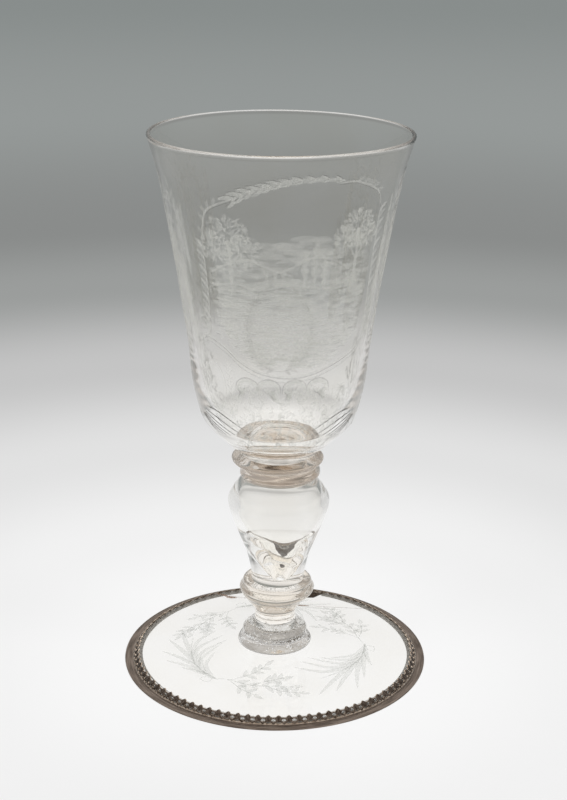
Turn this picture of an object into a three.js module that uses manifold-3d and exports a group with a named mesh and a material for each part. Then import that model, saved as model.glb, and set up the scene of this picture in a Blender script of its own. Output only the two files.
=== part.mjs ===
// A stemmed goblet of clear glass on a foot that was broken, glued and set into a silver mount.
//
// Millimetres, +Z up. The origin lies on the mount's axis, on the surface the goblet stands on. +Y is the
// back, where the foot was mended. Every glass piece is turned, and the pieces stand on each other at level
// joint planes: the foot on the mount's ledge, the stem's gathers on the foot, the bowl on the stem.

import * as THREE from 'three';
import { mergeGeometries, mergeVertices } from 'three/addons/utils/BufferGeometryUtils.js';
import Module from 'manifold-3d';

const wasm = await Module();
wasm.setup();

// Heights of the pieces, from the mount upward

const LEDGE_THICKNESS = 0.75;
const FOOT_EDGE_THICKNESS = 2.0;
const FOOT_RISE = 4.85;
const BASE_RING_HEIGHT = 5.6;
const FOOT_KNOP_HEIGHT = 6.2;
const STEM_NECK_HEIGHT = 11.2;
const LOWER_MERESE_HEIGHT = 8.2;
const BALUSTER_HEIGHT = 49.4;
const COLLAR_RING_HEIGHT = 5.6;
const BOWL_MERESE_HEIGHT = 4.6;
const BOWL_HEIGHT = 141.6;

// Radii of the bowl

const RIM_RADIUS = 55.5;
const BOWL_MIDDLE_RADIUS = 41.5;
const BOWL_SHOULDER_RADIUS = 33.7;
const BOWL_SEAT_RADIUS = 16.6;

// Glass thicknesses of the bowl, and where its underside turns into the wall

const RIM_WALL = 2.2;
const SHOULDER_WALL = 3.6;
const BOWL_FLOOR_THICKNESS = 10.5;
const BOWL_SHOULDER_HEIGHT = 20.5;

// Radii of the stem, largest and at the joint planes

const BOWL_MERESE_RADIUS = 20.2;
const COLLAR_RING_RADIUS = 17.5;
const BALUSTER_SEAT_RADIUS = 16.4;
const BALUSTER_RADIUS = 22.5;
const BALUSTER_FOOT_RADIUS = 11.7;
const LOWER_MERESE_RADIUS = 16.8;
const NECK_CUP_RADIUS = 14.5;
const NECK_RADIUS = 9.1;
const FOOT_KNOP_RADIUS = 14.3;
const BASE_RING_RADIUS = 16.6;

// The gathers were set by hand: how far each stands off the mount's axis, to the right

const BOWL_OFFSET = 0.7;
const BOWL_MERESE_OFFSET = 0.4;
const COLLAR_RING_OFFSET = 1.6;
const BALUSTER_OFFSET = 1.1;
const LOWER_MERESE_OFFSET = 0.6;
const BASE_RING_OFFSET = -0.4;

// The air hollow blown into the baluster

const BALUSTER_WALL = 3.4;
const HOLLOW_MOUTH_RADIUS = 11.0;
const HOLLOW_END_HEIGHT = 3.2;

// The foot

const FOOT_RADIUS = 62.5;
const FOOT_CENTRE_THICKNESS = 3.8;
const FOOT_SEAT_MARGIN = 1.5;
const PONTIL_RADIUS = 9.0;
const PONTIL_DEPTH = 0.8;

// The silver mount. The gallery leans in over the foot's edge at the slope given, up from level.

const FLANGE_WIDTH = 4.0;
const FLANGE_EDGE_THICKNESS = 0.5;
const LEDGE_OVERLAP = 2.15;
const LEDGE_MARGIN = 0.6;
const GALLERY_SLOPE_DEGREES = 48.7;
const GALLERY_CLEARANCE = 0.33;
const GALLERY_THICKNESS = 0.65;
const GALLERY_BAND_HEIGHT = 2.1;
const GALLERY_TIP_HEIGHT = 2.85;
const GALLERY_LEAVES = 90;

// The mend at the back of the foot. Depths are measured in from the foot's edge, places along X.

const BREAK_DEPTH = 22.8;
const BREAK_STEP_DEPTH = 13.5;
const BREAK_STEP_RIGHT = 10.0;
const BREAK_STEP_LEFT = -14.0;
const CRACK_GAP = 0.3;
const CHIP_CENTRE = 8.5;
const CHIP_WIDTH = 33.0;
const CHIP_DEPTH = 12.6;
const FILL_PLATE_THICKNESS = 1.2;
const FILL_PLATE_CLEARANCE = 0.3;
const SERRATION_DEPTH = 0.6;
const SERRATIONS_PER_SIDE = 3;

// Fineness of the faceted surfaces

const STEM_SEGMENTS = 36;
const BOWL_SEGMENTS = 48;
const FOOT_SEGMENTS = 60;
const MOUNT_SEGMENTS = 90;
const EDGE_STEPS = 6;

// Joint planes, worked out from the heights above

const footEdgeTop = LEDGE_THICKNESS + FOOT_EDGE_THICKNESS;
const footTop = footEdgeTop + FOOT_RISE;
const baseRingTop = footTop + BASE_RING_HEIGHT;
const footKnopTop = baseRingTop + FOOT_KNOP_HEIGHT;
const stemNeckTop = footKnopTop + STEM_NECK_HEIGHT;
const lowerMereseTop = stemNeckTop + LOWER_MERESE_HEIGHT;
const balusterTop = lowerMereseTop + BALUSTER_HEIGHT;
const collarRingTop = balusterTop + COLLAR_RING_HEIGHT;
const bowlMereseTop = collarRingTop + BOWL_MERESE_HEIGHT;

// Materials, one for each piece

function clearGlass(colour) {
  const look = { color: colour, roughness: 0.05, metalness: 0, opacity: 0.4, transparent: true };
  return new THREE.MeshStandardMaterial(look);
}

function tarnishedSilver(colour, roughness) {
  return new THREE.MeshStandardMaterial({ color: colour, roughness, metalness: 1 });
}

function piece(name, geometry, material, x = 0, z = 0) {
  const mesh = new THREE.Mesh(geometry, material);
  mesh.name = name;
  mesh.position.set(x, 0, z);
  return mesh;
}

// Outlines. A point is [radius, height].

// A smooth curve through hand-chosen points.
function smooth(points, stepsPerSpan = 2) {
  const curve = new THREE.SplineCurve(points.map(([r, z]) => new THREE.Vector2(r, z)));
  return curve.getPoints((points.length - 1) * stepsPerSpan).map((p) => [p.x, p.y]);
}

// A round stretch about a centre, from one angle to another in degrees.
function arc(centreRadius, centreHeight, radius, fromDegrees, toDegrees) {
  const points = [];
  for (let i = 0; i <= EDGE_STEPS; i += 1) {
    const angle = THREE.MathUtils.degToRad(THREE.MathUtils.lerp(fromDegrees, toDegrees, i / EDGE_STEPS));
    points.push([centreRadius + radius * Math.cos(angle), centreHeight + radius * Math.sin(angle)]);
  }
  return points;
}

// Turns an outline about the axis. It starts and ends on the axis, or closes on itself.
function turned(outline, segments) {
  const distinct = outline.filter(([r, z], i) => {
    return i === 0 || Math.hypot(r - outline[i - 1][0], z - outline[i - 1][1]) > 0.01;
  });
  const lathe = new THREE.LatheGeometry(distinct.map(([r, z]) => new THREE.Vector2(r, z)), segments);
  return lathe.rotateX(Math.PI / 2);
}

// A stem piece: its side between two level joint planes, closed by a flat disc at each.
function gather(side) {
  const bottom = side[0][1];
  const top = side[side.length - 1][1];
  return turned([[0, bottom], ...side, [0, top]], STEM_SEGMENTS);
}

// Joining and cutting

function solidFrom(geometry) {
  const bare = geometry.clone();
  bare.deleteAttribute('normal');
  bare.deleteAttribute('uv');
  const merged = mergeVertices(bare, 1e-4);
  return new wasm.Manifold(new wasm.Mesh({
    numProp: 3,
    vertProperties: new Float32Array(merged.attributes.position.array),
    triVerts: new Uint32Array(merged.index.array),
  }));
}

function geometryFrom(solid) {
  const mesh = solid.getMesh();
  const geometry = new THREE.BufferGeometry();
  geometry.setAttribute('position', new THREE.BufferAttribute(new Float32Array(mesh.vertProperties), 3));
  geometry.setIndex(new THREE.BufferAttribute(new Uint32Array(mesh.triVerts), 1));
  geometry.computeVertexNormals();
  return geometry;
}

// An upright prism over a plan outline, tall enough to cut through the whole foot.
function footCutter(plan) {
  const shape = new THREE.Shape(plan.map(([x, y]) => new THREE.Vector2(x, y)));
  const prism = new THREE.ExtrudeGeometry(shape, { depth: 2 * footTop, bevelEnabled: false });
  prism.translate(0, 0, -footTop / 2);
  return solidFrom(prism);
}

// Bowl

// The outer wall from the shoulder to the lip: nearly straight at first, then flaring.
function bowlWall() {
  const rise = BOWL_HEIGHT - RIM_WALL / 2 - BOWL_SHOULDER_HEIGHT;
  const shoulderToMiddle = BOWL_MIDDLE_RADIUS - BOWL_SHOULDER_RADIUS;
  const middleToRim = RIM_RADIUS - BOWL_MIDDLE_RADIUS;
  return [
    [BOWL_SHOULDER_RADIUS, BOWL_SHOULDER_HEIGHT],
    [BOWL_SHOULDER_RADIUS + 0.43 * shoulderToMiddle, BOWL_SHOULDER_HEIGHT + 0.12 * rise],
    [BOWL_SHOULDER_RADIUS + 0.76 * shoulderToMiddle, BOWL_SHOULDER_HEIGHT + 0.31 * rise],
    [BOWL_MIDDLE_RADIUS + 0.115 * middleToRim, BOWL_SHOULDER_HEIGHT + 0.51 * rise],
    [BOWL_MIDDLE_RADIUS + 0.437 * middleToRim, BOWL_SHOULDER_HEIGHT + 0.73 * rise],
    [BOWL_MIDDLE_RADIUS + 0.7 * middleToRim, BOWL_SHOULDER_HEIGHT + 0.88 * rise],
    [RIM_RADIUS, BOWL_SHOULDER_HEIGHT + rise],
  ];
}

// The glass grows thinner from the shoulder up to the lip.
function wallThickness(height) {
  const share = (height - BOWL_SHOULDER_HEIGHT) / (BOWL_HEIGHT - BOWL_SHOULDER_HEIGHT);
  return THREE.MathUtils.lerp(SHOULDER_WALL, RIM_WALL, Math.sqrt(THREE.MathUtils.clamp(share, 0, 1)));
}

function bowl() {
  const wall = bowlWall();
  const underside = BOWL_SHOULDER_RADIUS - BOWL_SEAT_RADIUS;
  const outside = smooth([
    [BOWL_SEAT_RADIUS, 0],
    [BOWL_SEAT_RADIUS + 0.2 * underside, 0.15 * BOWL_SHOULDER_HEIGHT],
    [BOWL_SEAT_RADIUS + 0.5 * underside, 0.41 * BOWL_SHOULDER_HEIGHT],
    [BOWL_SEAT_RADIUS + 0.85 * underside, 0.74 * BOWL_SHOULDER_HEIGHT],
    ...wall,
  ]);
  const lip = arc(RIM_RADIUS - RIM_WALL / 2, BOWL_HEIGHT - RIM_WALL / 2, RIM_WALL / 2, 0, 180);
  const innerWall = wall.map(([r, z]) => [r - wallThickness(z), z]).reverse();
  const innerShoulderRadius = BOWL_SHOULDER_RADIUS - SHOULDER_WALL;
  const floorToShoulder = BOWL_SHOULDER_HEIGHT - BOWL_FLOOR_THICKNESS;
  const inside = smooth([
    ...innerWall,
    [0.84 * innerShoulderRadius, BOWL_FLOOR_THICKNESS + 0.36 * floorToShoulder],
    [0.5 * innerShoulderRadius, BOWL_FLOOR_THICKNESS + 0.06 * floorToShoulder],
    [0, BOWL_FLOOR_THICKNESS],
  ], 1);
  const geometry = turned([[0, 0], ...outside, ...lip, ...inside], BOWL_SEGMENTS);
  return piece('bowl', geometry, clearGlass(0xe9ebea), BOWL_OFFSET, bowlMereseTop);
}

// Stem, from the bowl down to the foot

// A thin-edged disc, wider than what it joins.
function bowlMerese() {
  const side = smooth([
    [COLLAR_RING_RADIUS, 0],
    [BOWL_MERESE_RADIUS - 1.1, 0.32 * BOWL_MERESE_HEIGHT],
    [BOWL_MERESE_RADIUS, 0.58 * BOWL_MERESE_HEIGHT],
    [BOWL_MERESE_RADIUS - 0.9, 0.84 * BOWL_MERESE_HEIGHT],
    [BOWL_SEAT_RADIUS, BOWL_MERESE_HEIGHT],
  ]);
  return piece('bowl_merese', gather(side), clearGlass(0xd9d3cb), BOWL_MERESE_OFFSET, collarRingTop);
}

function collarRing() {
  const side = smooth([
    [BALUSTER_SEAT_RADIUS, 0],
    [COLLAR_RING_RADIUS, 0.25 * COLLAR_RING_HEIGHT],
    [COLLAR_RING_RADIUS, 0.6 * COLLAR_RING_HEIGHT],
    [COLLAR_RING_RADIUS - 0.4, COLLAR_RING_HEIGHT],
  ]);
  return piece('collar_ring', gather(side), clearGlass(0xcfc6bd), COLLAR_RING_OFFSET, balusterTop);
}

// The baluster swells below its seat and tapers to its foot. Its hollow opens at the top joint plane,
// which the collar ring closes.
function baluster() {
  const height = BALUSTER_HEIGHT;
  const taper = BALUSTER_RADIUS - BALUSTER_FOOT_RADIUS;
  const outside = smooth([
    [BALUSTER_FOOT_RADIUS, 0],
    [BALUSTER_FOOT_RADIUS + 0.05 * taper, 0.1 * height],
    [BALUSTER_FOOT_RADIUS + 0.22 * taper, 0.26 * height],
    [BALUSTER_FOOT_RADIUS + 0.55 * taper, 0.45 * height],
    [BALUSTER_FOOT_RADIUS + 0.86 * taper, 0.63 * height],
    [BALUSTER_RADIUS, 0.78 * height],
    [BALUSTER_RADIUS - 0.22 * taper, 0.88 * height],
    [BALUSTER_SEAT_RADIUS, 0.96 * height],
    [BALUSTER_SEAT_RADIUS, height],
  ]);
  const hollowDepth = height - HOLLOW_END_HEIGHT;
  const widest = BALUSTER_RADIUS - BALUSTER_WALL;
  const inside = smooth([
    [HOLLOW_MOUTH_RADIUS, height],
    [0.9 * widest, HOLLOW_END_HEIGHT + 0.89 * hollowDepth],
    [widest, HOLLOW_END_HEIGHT + 0.76 * hollowDepth],
    [0.85 * widest, HOLLOW_END_HEIGHT + 0.58 * hollowDepth],
    [0.6 * widest, HOLLOW_END_HEIGHT + 0.38 * hollowDepth],
    [0.34 * widest, HOLLOW_END_HEIGHT + 0.17 * hollowDepth],
    [0.15 * widest, HOLLOW_END_HEIGHT + 0.035 * hollowDepth],
    [0, HOLLOW_END_HEIGHT],
  ], 1);
  const geometry = turned([[0, 0], ...outside, ...inside], STEM_SEGMENTS);
  return piece('baluster', geometry, clearGlass(0xe4e6e5), BALUSTER_OFFSET, lowerMereseTop);
}

function lowerMerese() {
  const side = smooth([
    [NECK_CUP_RADIUS, 0],
    [LOWER_MERESE_RADIUS - 0.7, 0.22 * LOWER_MERESE_HEIGHT],
    [LOWER_MERESE_RADIUS, 0.46 * LOWER_MERESE_HEIGHT],
    [LOWER_MERESE_RADIUS - 1.3, 0.76 * LOWER_MERESE_HEIGHT],
    [BALUSTER_FOOT_RADIUS + 1.3, 0.93 * LOWER_MERESE_HEIGHT],
    [BALUSTER_FOOT_RADIUS, LOWER_MERESE_HEIGHT],
  ]);
  return piece('lower_merese', gather(side), clearGlass(0xd8cfc6), LOWER_MERESE_OFFSET, stemNeckTop);
}

function stemNeck() {
  const taper = NECK_CUP_RADIUS - NECK_RADIUS;
  const side = smooth([
    [NECK_RADIUS + 0.2, 0],
    [NECK_RADIUS, 0.2 * STEM_NECK_HEIGHT],
    [NECK_RADIUS + 0.12 * taper, 0.44 * STEM_NECK_HEIGHT],
    [NECK_RADIUS + 0.5 * taper, 0.7 * STEM_NECK_HEIGHT],
    [NECK_CUP_RADIUS, STEM_NECK_HEIGHT],
  ]);
  return piece('stem_neck', gather(side), clearGlass(0xe2ddd7), 0, footKnopTop);
}

// A cone with a rounded lower edge.
function footKnop() {
  const spread = FOOT_KNOP_RADIUS - NECK_RADIUS;
  const side = smooth([
    [FOOT_KNOP_RADIUS - 0.3, 0],
    [FOOT_KNOP_RADIUS, 0.14 * FOOT_KNOP_HEIGHT],
    [NECK_RADIUS + 0.56 * spread, 0.5 * FOOT_KNOP_HEIGHT],
    [NECK_RADIUS + 0.17 * spread, 0.84 * FOOT_KNOP_HEIGHT],
    [NECK_RADIUS + 0.2, FOOT_KNOP_HEIGHT],
  ]);
  return piece('foot_knop', gather(side), clearGlass(0xc9c5bf), 0, baseRingTop);
}

function baseRing() {
  const side = smooth([
    [BASE_RING_RADIUS - 0.3, 0],
    [BASE_RING_RADIUS, 0.12 * BASE_RING_HEIGHT],
    [BASE_RING_RADIUS - 0.9, 0.36 * BASE_RING_HEIGHT],
    [FOOT_KNOP_RADIUS + 0.2, 0.66 * BASE_RING_HEIGHT],
    [FOOT_KNOP_RADIUS - 0.3, BASE_RING_HEIGHT],
  ]);
  return piece('base_ring', gather(side), clearGlass(0xd2cbc3), BASE_RING_OFFSET, footTop);
}

// Foot

const edgeRounding = FOOT_EDGE_THICKNESS / 2;
const ledgeInnerRadius = FOOT_RADIUS - LEDGE_OVERLAP;

// The hollow underside, from the ground pontil mark on the axis out to the flat rim on the ledge.
function footUnderside() {
  const restRadius = ledgeInnerRadius - LEDGE_MARGIN;
  const centreHeight = footTop - FOOT_CENTRE_THICKNESS;
  return [
    [0, centreHeight + PONTIL_DEPTH],
    [0.6 * PONTIL_RADIUS, centreHeight + 0.7 * PONTIL_DEPTH],
    [PONTIL_RADIUS, centreHeight],
    [restRadius / 2, (LEDGE_THICKNESS + centreHeight) / 2],
    [restRadius, LEDGE_THICKNESS],
  ];
}

function wholeFoot() {
  const roundingRadius = FOOT_RADIUS - edgeRounding;
  const edge = arc(roundingRadius, LEDGE_THICKNESS + edgeRounding, edgeRounding, -90, 90);
  const top = smooth([
    [roundingRadius, footEdgeTop],
    [0.73 * FOOT_RADIUS, footEdgeTop + 0.22 * FOOT_RISE],
    [0.45 * FOOT_RADIUS, footEdgeTop + 0.68 * FOOT_RISE],
    [BASE_RING_RADIUS + FOOT_SEAT_MARGIN, footTop],
  ]);
  return solidFrom(turned([...footUnderside(), ...edge, ...top, [0, footTop]], FOOT_SEGMENTS));
}

// Plan of all that lies beyond the break, moved outward by the shift. From the right the break runs straight
// behind the stem, then steps outward and reaches the foot's edge at the left.
function beyondBreak(shift) {
  const outside = FOOT_RADIUS + CHIP_DEPTH;
  const straight = FOOT_RADIUS - BREAK_DEPTH + shift;
  const step = FOOT_RADIUS - BREAK_STEP_DEPTH + shift;
  return [
    [outside, straight],
    [outside, outside],
    [-outside, outside],
    [-outside, step + BREAK_STEP_DEPTH],
    [2 * BREAK_STEP_LEFT, step + 0.45 * BREAK_STEP_DEPTH],
    [BREAK_STEP_LEFT, step],
    [BREAK_STEP_RIGHT, straight + 0.1 * BREAK_STEP_DEPTH],
    [2 * BREAK_STEP_RIGHT, straight],
  ];
}

// Plan corners of the chip missing from the fragment's edge, from right to left, drawn in by the inset.
function chipCorners(inset) {
  const half = CHIP_WIDTH / 2 - inset;
  const depth = CHIP_DEPTH - inset;
  const outside = FOOT_RADIUS + edgeRounding;
  return [
    [CHIP_CENTRE + half, outside],
    [CHIP_CENTRE + 0.89 * half, FOOT_RADIUS - 0.52 * depth],
    [CHIP_CENTRE + 0.6 * half, FOOT_RADIUS - 0.96 * depth],
    [CHIP_CENTRE - 0.34 * half, FOOT_RADIUS - depth],
    [CHIP_CENTRE - 0.8 * half, FOOT_RADIUS - 0.6 * depth],
    [CHIP_CENTRE - half, outside],
  ];
}

// The same corners with the lines between them snipped into teeth.
function serrated(corners) {
  const points = [];
  for (let i = 0; i + 1 < corners.length; i += 1) {
    const from = new THREE.Vector2(...corners[i]);
    const along = new THREE.Vector2(...corners[i + 1]).sub(from);
    const inward = new THREE.Vector2(along.y, -along.x).setLength(SERRATION_DEPTH);
    for (let tooth = 0; tooth < SERRATIONS_PER_SIDE; tooth += 1) {
      const tip = from.clone().addScaledVector(along, tooth / SERRATIONS_PER_SIDE);
      const notch = from.clone().addScaledVector(along, (tooth + 0.5) / SERRATIONS_PER_SIDE).add(inward);
      points.push([tip.x, tip.y], [notch.x, notch.y]);
    }
  }
  return [...points, corners[corners.length - 1]];
}

function footPlate() {
  const solid = wholeFoot().subtract(footCutter(beyondBreak(0)));
  return piece('foot_plate', geometryFrom(solid), clearGlass(0xeef0ee));
}

function footFragment() {
  const fragment = wholeFoot().intersect(footCutter(beyondBreak(CRACK_GAP)));
  const solid = fragment.subtract(footCutter(chipCorners(0)));
  return piece('foot_fragment', geometryFrom(solid), clearGlass(0xeef0ee));
}

// A sheet that follows the foot's underside, rests on the mount's ledge and fills the chip.
function fillPlate() {
  const lower = [...footUnderside(), [FOOT_RADIUS - edgeRounding, LEDGE_THICKNESS]];
  const upper = lower.map(([r, z]) => [r, z + FILL_PLATE_THICKNESS]).reverse();
  const sheet = solidFrom(turned([...lower, ...upper], FOOT_SEGMENTS));
  const solid = sheet.intersect(footCutter(serrated(chipCorners(FILL_PLATE_CLEARANCE))));
  return piece('fill_plate', geometryFrom(solid), tarnishedSilver(0x5d554e, 0.7));
}

// Mount

// The gallery's inner face passes the foot's rounded edge at the clearance. Where that face meets the ledge
// follows from its slope.
const gallerySlope = THREE.MathUtils.degToRad(GALLERY_SLOPE_DEGREES);
const faceDistance = edgeRounding + GALLERY_CLEARANCE;
const faceRun = (faceDistance + edgeRounding * Math.cos(gallerySlope)) / Math.sin(gallerySlope);
const galleryInnerRadius = FOOT_RADIUS - edgeRounding + faceRun;
const galleryOuterRadius = galleryInnerRadius + GALLERY_THICKNESS;
const mountRadius = galleryOuterRadius + FLANGE_WIDTH;

// A level ledge under the foot's edge, and outside the gallery a flange that falls to a thin edge.
function mountRing() {
  const section = [
    [ledgeInnerRadius, 0],
    [mountRadius, 0],
    [mountRadius, FLANGE_EDGE_THICKNESS],
    [galleryOuterRadius, LEDGE_THICKNESS],
    [ledgeInnerRadius, LEDGE_THICKNESS],
    [ledgeInnerRadius, 0],
  ];
  return piece('mount_ring', turned(section, MOUNT_SEGMENTS), tarnishedSilver(0x7d7068, 0.45));
}

// One leaf of the gallery as a flat cell: across runs from 0 to 1, up is in millimetres. The leaf stands in
// the middle, and half an opening lies at each side of it.
function leafCell() {
  const openingHalfWidth = 0.17;
  const openingLow = 0.3 * GALLERY_BAND_HEIGHT;
  const openingHigh = 0.72 * GALLERY_BAND_HEIGHT;
  const openingMiddle = (openingLow + openingHigh) / 2;
  const leafHalfWidth = 0.18;
  const leafFoot = 0.95 * GALLERY_BAND_HEIGHT;
  const outline = [
    [0, 0],
    [1, 0],
    [1, openingLow],
    [1 - openingHalfWidth, openingMiddle],
    [1, openingHigh],
    [1, GALLERY_BAND_HEIGHT],
    [0.5 + leafHalfWidth, leafFoot],
    [0.5, GALLERY_TIP_HEIGHT],
    [0.5 - leafHalfWidth, leafFoot],
    [0, GALLERY_BAND_HEIGHT],
    [0, openingHigh],
    [openingHalfWidth, openingMiddle],
    [0, openingLow],
  ];
  const cell = new THREE.Shape(outline.map(([across, up]) => new THREE.Vector2(across, up)));
  return new THREE.ExtrudeGeometry(cell, { depth: GALLERY_THICKNESS, bevelEnabled: false });
}

// Whether all corners of a triangle lie at the given place across the cell.
function liesAt(position, corners, across) {
  return corners.every((corner) => Math.abs(position.getX(corner) - across) < 1e-6);
}

// The cell bent round the mount, without its two end faces, where the next cells follow on.
function bentCell(cell, number) {
  const position = cell.attributes.position;
  const points = [];
  for (let i = 0; i < position.count; i += 3) {
    const corners = [i, i + 1, i + 2];
    if (liesAt(position, corners, 0) || liesAt(position, corners, 1)) continue;
    for (const corner of corners) {
      const angle = (2 * Math.PI * (number + position.getX(corner))) / GALLERY_LEAVES;
      const up = position.getY(corner);
      const radius = galleryInnerRadius + position.getZ(corner) - up / Math.tan(gallerySlope);
      points.push(radius * Math.sin(angle), -radius * Math.cos(angle), LEDGE_THICKNESS + up);
    }
  }
  const bent = new THREE.BufferGeometry();
  bent.setAttribute('position', new THREE.Float32BufferAttribute(points, 3));
  return bent;
}

function mountGallery() {
  const cell = leafCell();
  const cells = [];
  for (let leaf = 0; leaf < GALLERY_LEAVES; leaf += 1) {
    cells.push(bentCell(cell, leaf));
  }
  const geometry = mergeVertices(mergeGeometries(cells), 1e-4);
  geometry.computeVertexNormals();
  return piece('mount_gallery', geometry, tarnishedSilver(0x4a4038, 0.55));
}

// Assembly

const goblet = new THREE.Group();
goblet.add(
  bowl(), bowlMerese(), collarRing(), baluster(), lowerMerese(), stemNeck(), footKnop(), baseRing(),
  footPlate(), footFragment(), fillPlate(), mountRing(), mountGallery(),
);

export default goblet;
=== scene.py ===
"""A stemmed goblet of engraved glass, on a mended foot in a tarnished silver mount.

Laid out as a Blender add-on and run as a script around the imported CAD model. Metres, +Z up along the stem,
+Y the back, where the foot was mended. The glass gathers are turned again with finer steps than the CAD
solids they stand for, and meet at the same level joint planes, where the glass is fused.
"""
import math
import random

import bmesh
import bpy
from bpy.props import FloatProperty, FloatVectorProperty, IntProperty, PointerProperty
from bpy.types import Operator, Panel, PropertyGroup
from mathutils import Matrix, Vector


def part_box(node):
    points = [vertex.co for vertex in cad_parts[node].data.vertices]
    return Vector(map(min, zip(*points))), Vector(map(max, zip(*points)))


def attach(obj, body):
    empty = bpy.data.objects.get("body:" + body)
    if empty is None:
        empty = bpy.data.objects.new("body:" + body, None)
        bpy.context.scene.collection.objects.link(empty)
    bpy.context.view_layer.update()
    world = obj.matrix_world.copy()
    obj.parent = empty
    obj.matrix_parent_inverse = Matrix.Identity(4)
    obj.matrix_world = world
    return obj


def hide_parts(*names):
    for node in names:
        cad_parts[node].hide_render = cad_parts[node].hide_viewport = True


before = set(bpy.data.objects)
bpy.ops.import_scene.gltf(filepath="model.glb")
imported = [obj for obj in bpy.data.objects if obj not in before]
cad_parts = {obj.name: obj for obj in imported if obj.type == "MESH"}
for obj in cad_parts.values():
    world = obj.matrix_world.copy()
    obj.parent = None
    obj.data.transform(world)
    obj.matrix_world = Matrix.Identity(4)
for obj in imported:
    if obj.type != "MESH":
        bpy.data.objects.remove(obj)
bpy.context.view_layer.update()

bl_info = {
    "name": "Mended Goblet",
    "version": (1, 0, 0),
    "blender": (4, 5, 0),
    "location": "3D View > Sidebar > Goblet",
    "description": "Builds an engraved glass goblet with a mended foot in a silver mount",
    "category": "Add Mesh",
}

MM = 0.001

# Fineness of the turned meshes: steps round each, then steps between two points of a smooth outline, of
# the foot's top, and along an arc
BOWL_STEPS = 144
STEM_STEPS = 96
FOOT_STEPS = 180
MOUNT_STEPS = 240
SPAN_STEPS = 6
FOOT_TOP_STEPS = 10
ARC_STEPS = 8

# Corners closer than this are one corner, a face this level lies in its joint plane, and edges flatter than
# the crease are shaded smooth
TOUCHING = 1e-7
LEVEL_WITHIN = 1e-6
CREASE_DEGREES = 32

# The glass gathers from the bowl down. The seedy ones hold this many air bubbles.
STACK = (
    "bowl", "bowl_merese", "collar_ring", "baluster", "lower_merese", "stem_neck", "foot_knop", "base_ring",
    "foot_plate",
)
SEEDY = {"foot_knop": 90, "base_ring": 130}

# Shares of the radius by which hand tooling has left the gathers out of round
TOOLED_UNEVENNESS = 0.006
SEEDY_UNEVENNESS = 0.02

# The lip wavers: height of the topmost part of the wall that takes part, and half of its deepest dip
WAVER_HEIGHT = 6 * MM
LIP_DIP = 0.12 * MM

# The silver ledge stays this far below the glass that rests on it, so that light reaches it
SEAT_GAP = 0.04 * MM

# The groove in the ring along the strip's foot, and the rib on each leaf
GROOVE_DEPTH = 0.16 * MM
RIB_HEIGHT = 0.25 * MM

# The solids that cut the foot reach from below it to above it
CUTTER_LOW = -5 * MM
CUTTER_HIGH = 15 * MM

# The mount's patches of tarnish are laid out along this radius
MOUNT_RADIUS = 65 * MM

# The engraver's cuts. On the plan, a strip's corners lie this many millimetres apart, and from this width it
# is rounded across. The last three are numbers of steps: between two points of a line, and in all along a
# scroll's stalk and round an oval.
CUT_STEP = 1.2
ROUNDED_FROM = 0.9
LINE_STEPS = 4
SCROLL_STEPS = 14
OVAL_STEPS = 16

# A strip stands this far off the glass and is this thick. The cuts get their thickness in parts of about
# this many corners.
CUT_LIFT = 0.05 * MM
CUT_THICKNESS = 0.02 * MM
PART_CORNERS = 3000

# Depths of a cut, then two lines of painted shade, grey and dark, where the steep sides of deep cuts
# look dark: places in the engraving's list of materials
DEEP, SHALLOW, PAINTED_SHADE, DARK_PAINTED_SHADE = 0, 1, 2, 3

# The bowl's plan is as wide as its wall at this radius, in millimetres
PLAN_RADIUS = 44.0

# The frame's foliage: pairs of leaves on its garland, and leaves up each side
GARLAND_PAIRS = 11
FRAME_LEAVES = 14

# The border's tufts stand this far apart, in millimetres. Each fan has this many long cuts.
TUFT_PITCH = 4.6
FAN_BLADES = 7

# The upright bands stand here on the plan, in millimetres, each with this many fine cuts
BAND_CENTRES = (-54.0, 60.0, -92.0, 98.0)
SIDE_CUTS = 90

# The foot's three sprays: where each is tied, and how many blades grow on either side of its plume
SPRAY_DEGREES = (-133.0, -3.0, 112.0)
PLUME_BLADES = 5

# Light passes the stem's many fused and polished surfaces before it reaches the eye
LIGHT_BOUNCES = 256

# Soft boxes: place, size in metres and power in watts. They aim at the middle of the goblet.
SOFT_BOXES = {
    "key_soft_box": ((-1.1, -0.7, 1.3), 0.7, 9.0),
    "fill_soft_box": ((1.3, -0.5, 1.0), 0.35, 6.0),
    "back_soft_box": ((0.3, 1.3, 1.5), 0.9, 8.0),
}
LAMP_AIM = (0.0, 0.0, 0.12)

# What gloss and glass see of the room: greys from the horizon up to the ceiling, by the height of the
# direction, and a warm shade on the side of the camera
ROOM_SHADES = ((0.0, "8c9190"), (0.3, "b0aca8"), (0.65, "dedbd7"), (1.0, "f4f2ef"))
ROOM_BEHIND_CAMERA = "dcd7d2"

# What a soft light overhead adds to the room where gloss mirrors it, as a share of the room's brightness
OVERHEAD_GLOSS = 1.5

# The sweep, in metres. Its greys are given at distances from the goblet's axis, up to its reach. Under the
# foot all of its brightness is its own light, and outside only this share of it.
FLOOR_RADIUS = 6.0
LIT_THROUGH_FOOT = 0.063
SWEEP_OWN_LIGHT = 0.85
SWEEP_REACH = 3.0
SWEEP_SHADES = (
    (0.063, "ffffff"), (0.066, "f8f8f8"), (0.15, "f1f1f1"), (0.27, "e1e1e1"), (0.43, "c4c4c4"),
    (0.64, "9b9d9c"), (0.85, "8a8c8b"), (1.50, "969a99"), (3.0, "8c9190"),
)


# Sizes and colours that a user would change

def length(name, millimetres, description):
    """A length property. Its default is given in millimetres."""
    return FloatProperty(
        name=name, description=description, default=millimetres * MM,
        min=-0.2, max=1.0, precision=5, unit="LENGTH", subtype="DISTANCE",
    )


def slant(name, degrees, description):
    """An angle property. Its default is given in degrees."""
    return FloatProperty(
        name=name, description=description, default=math.radians(degrees),
        subtype="ANGLE", unit="ROTATION",
    )


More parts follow.
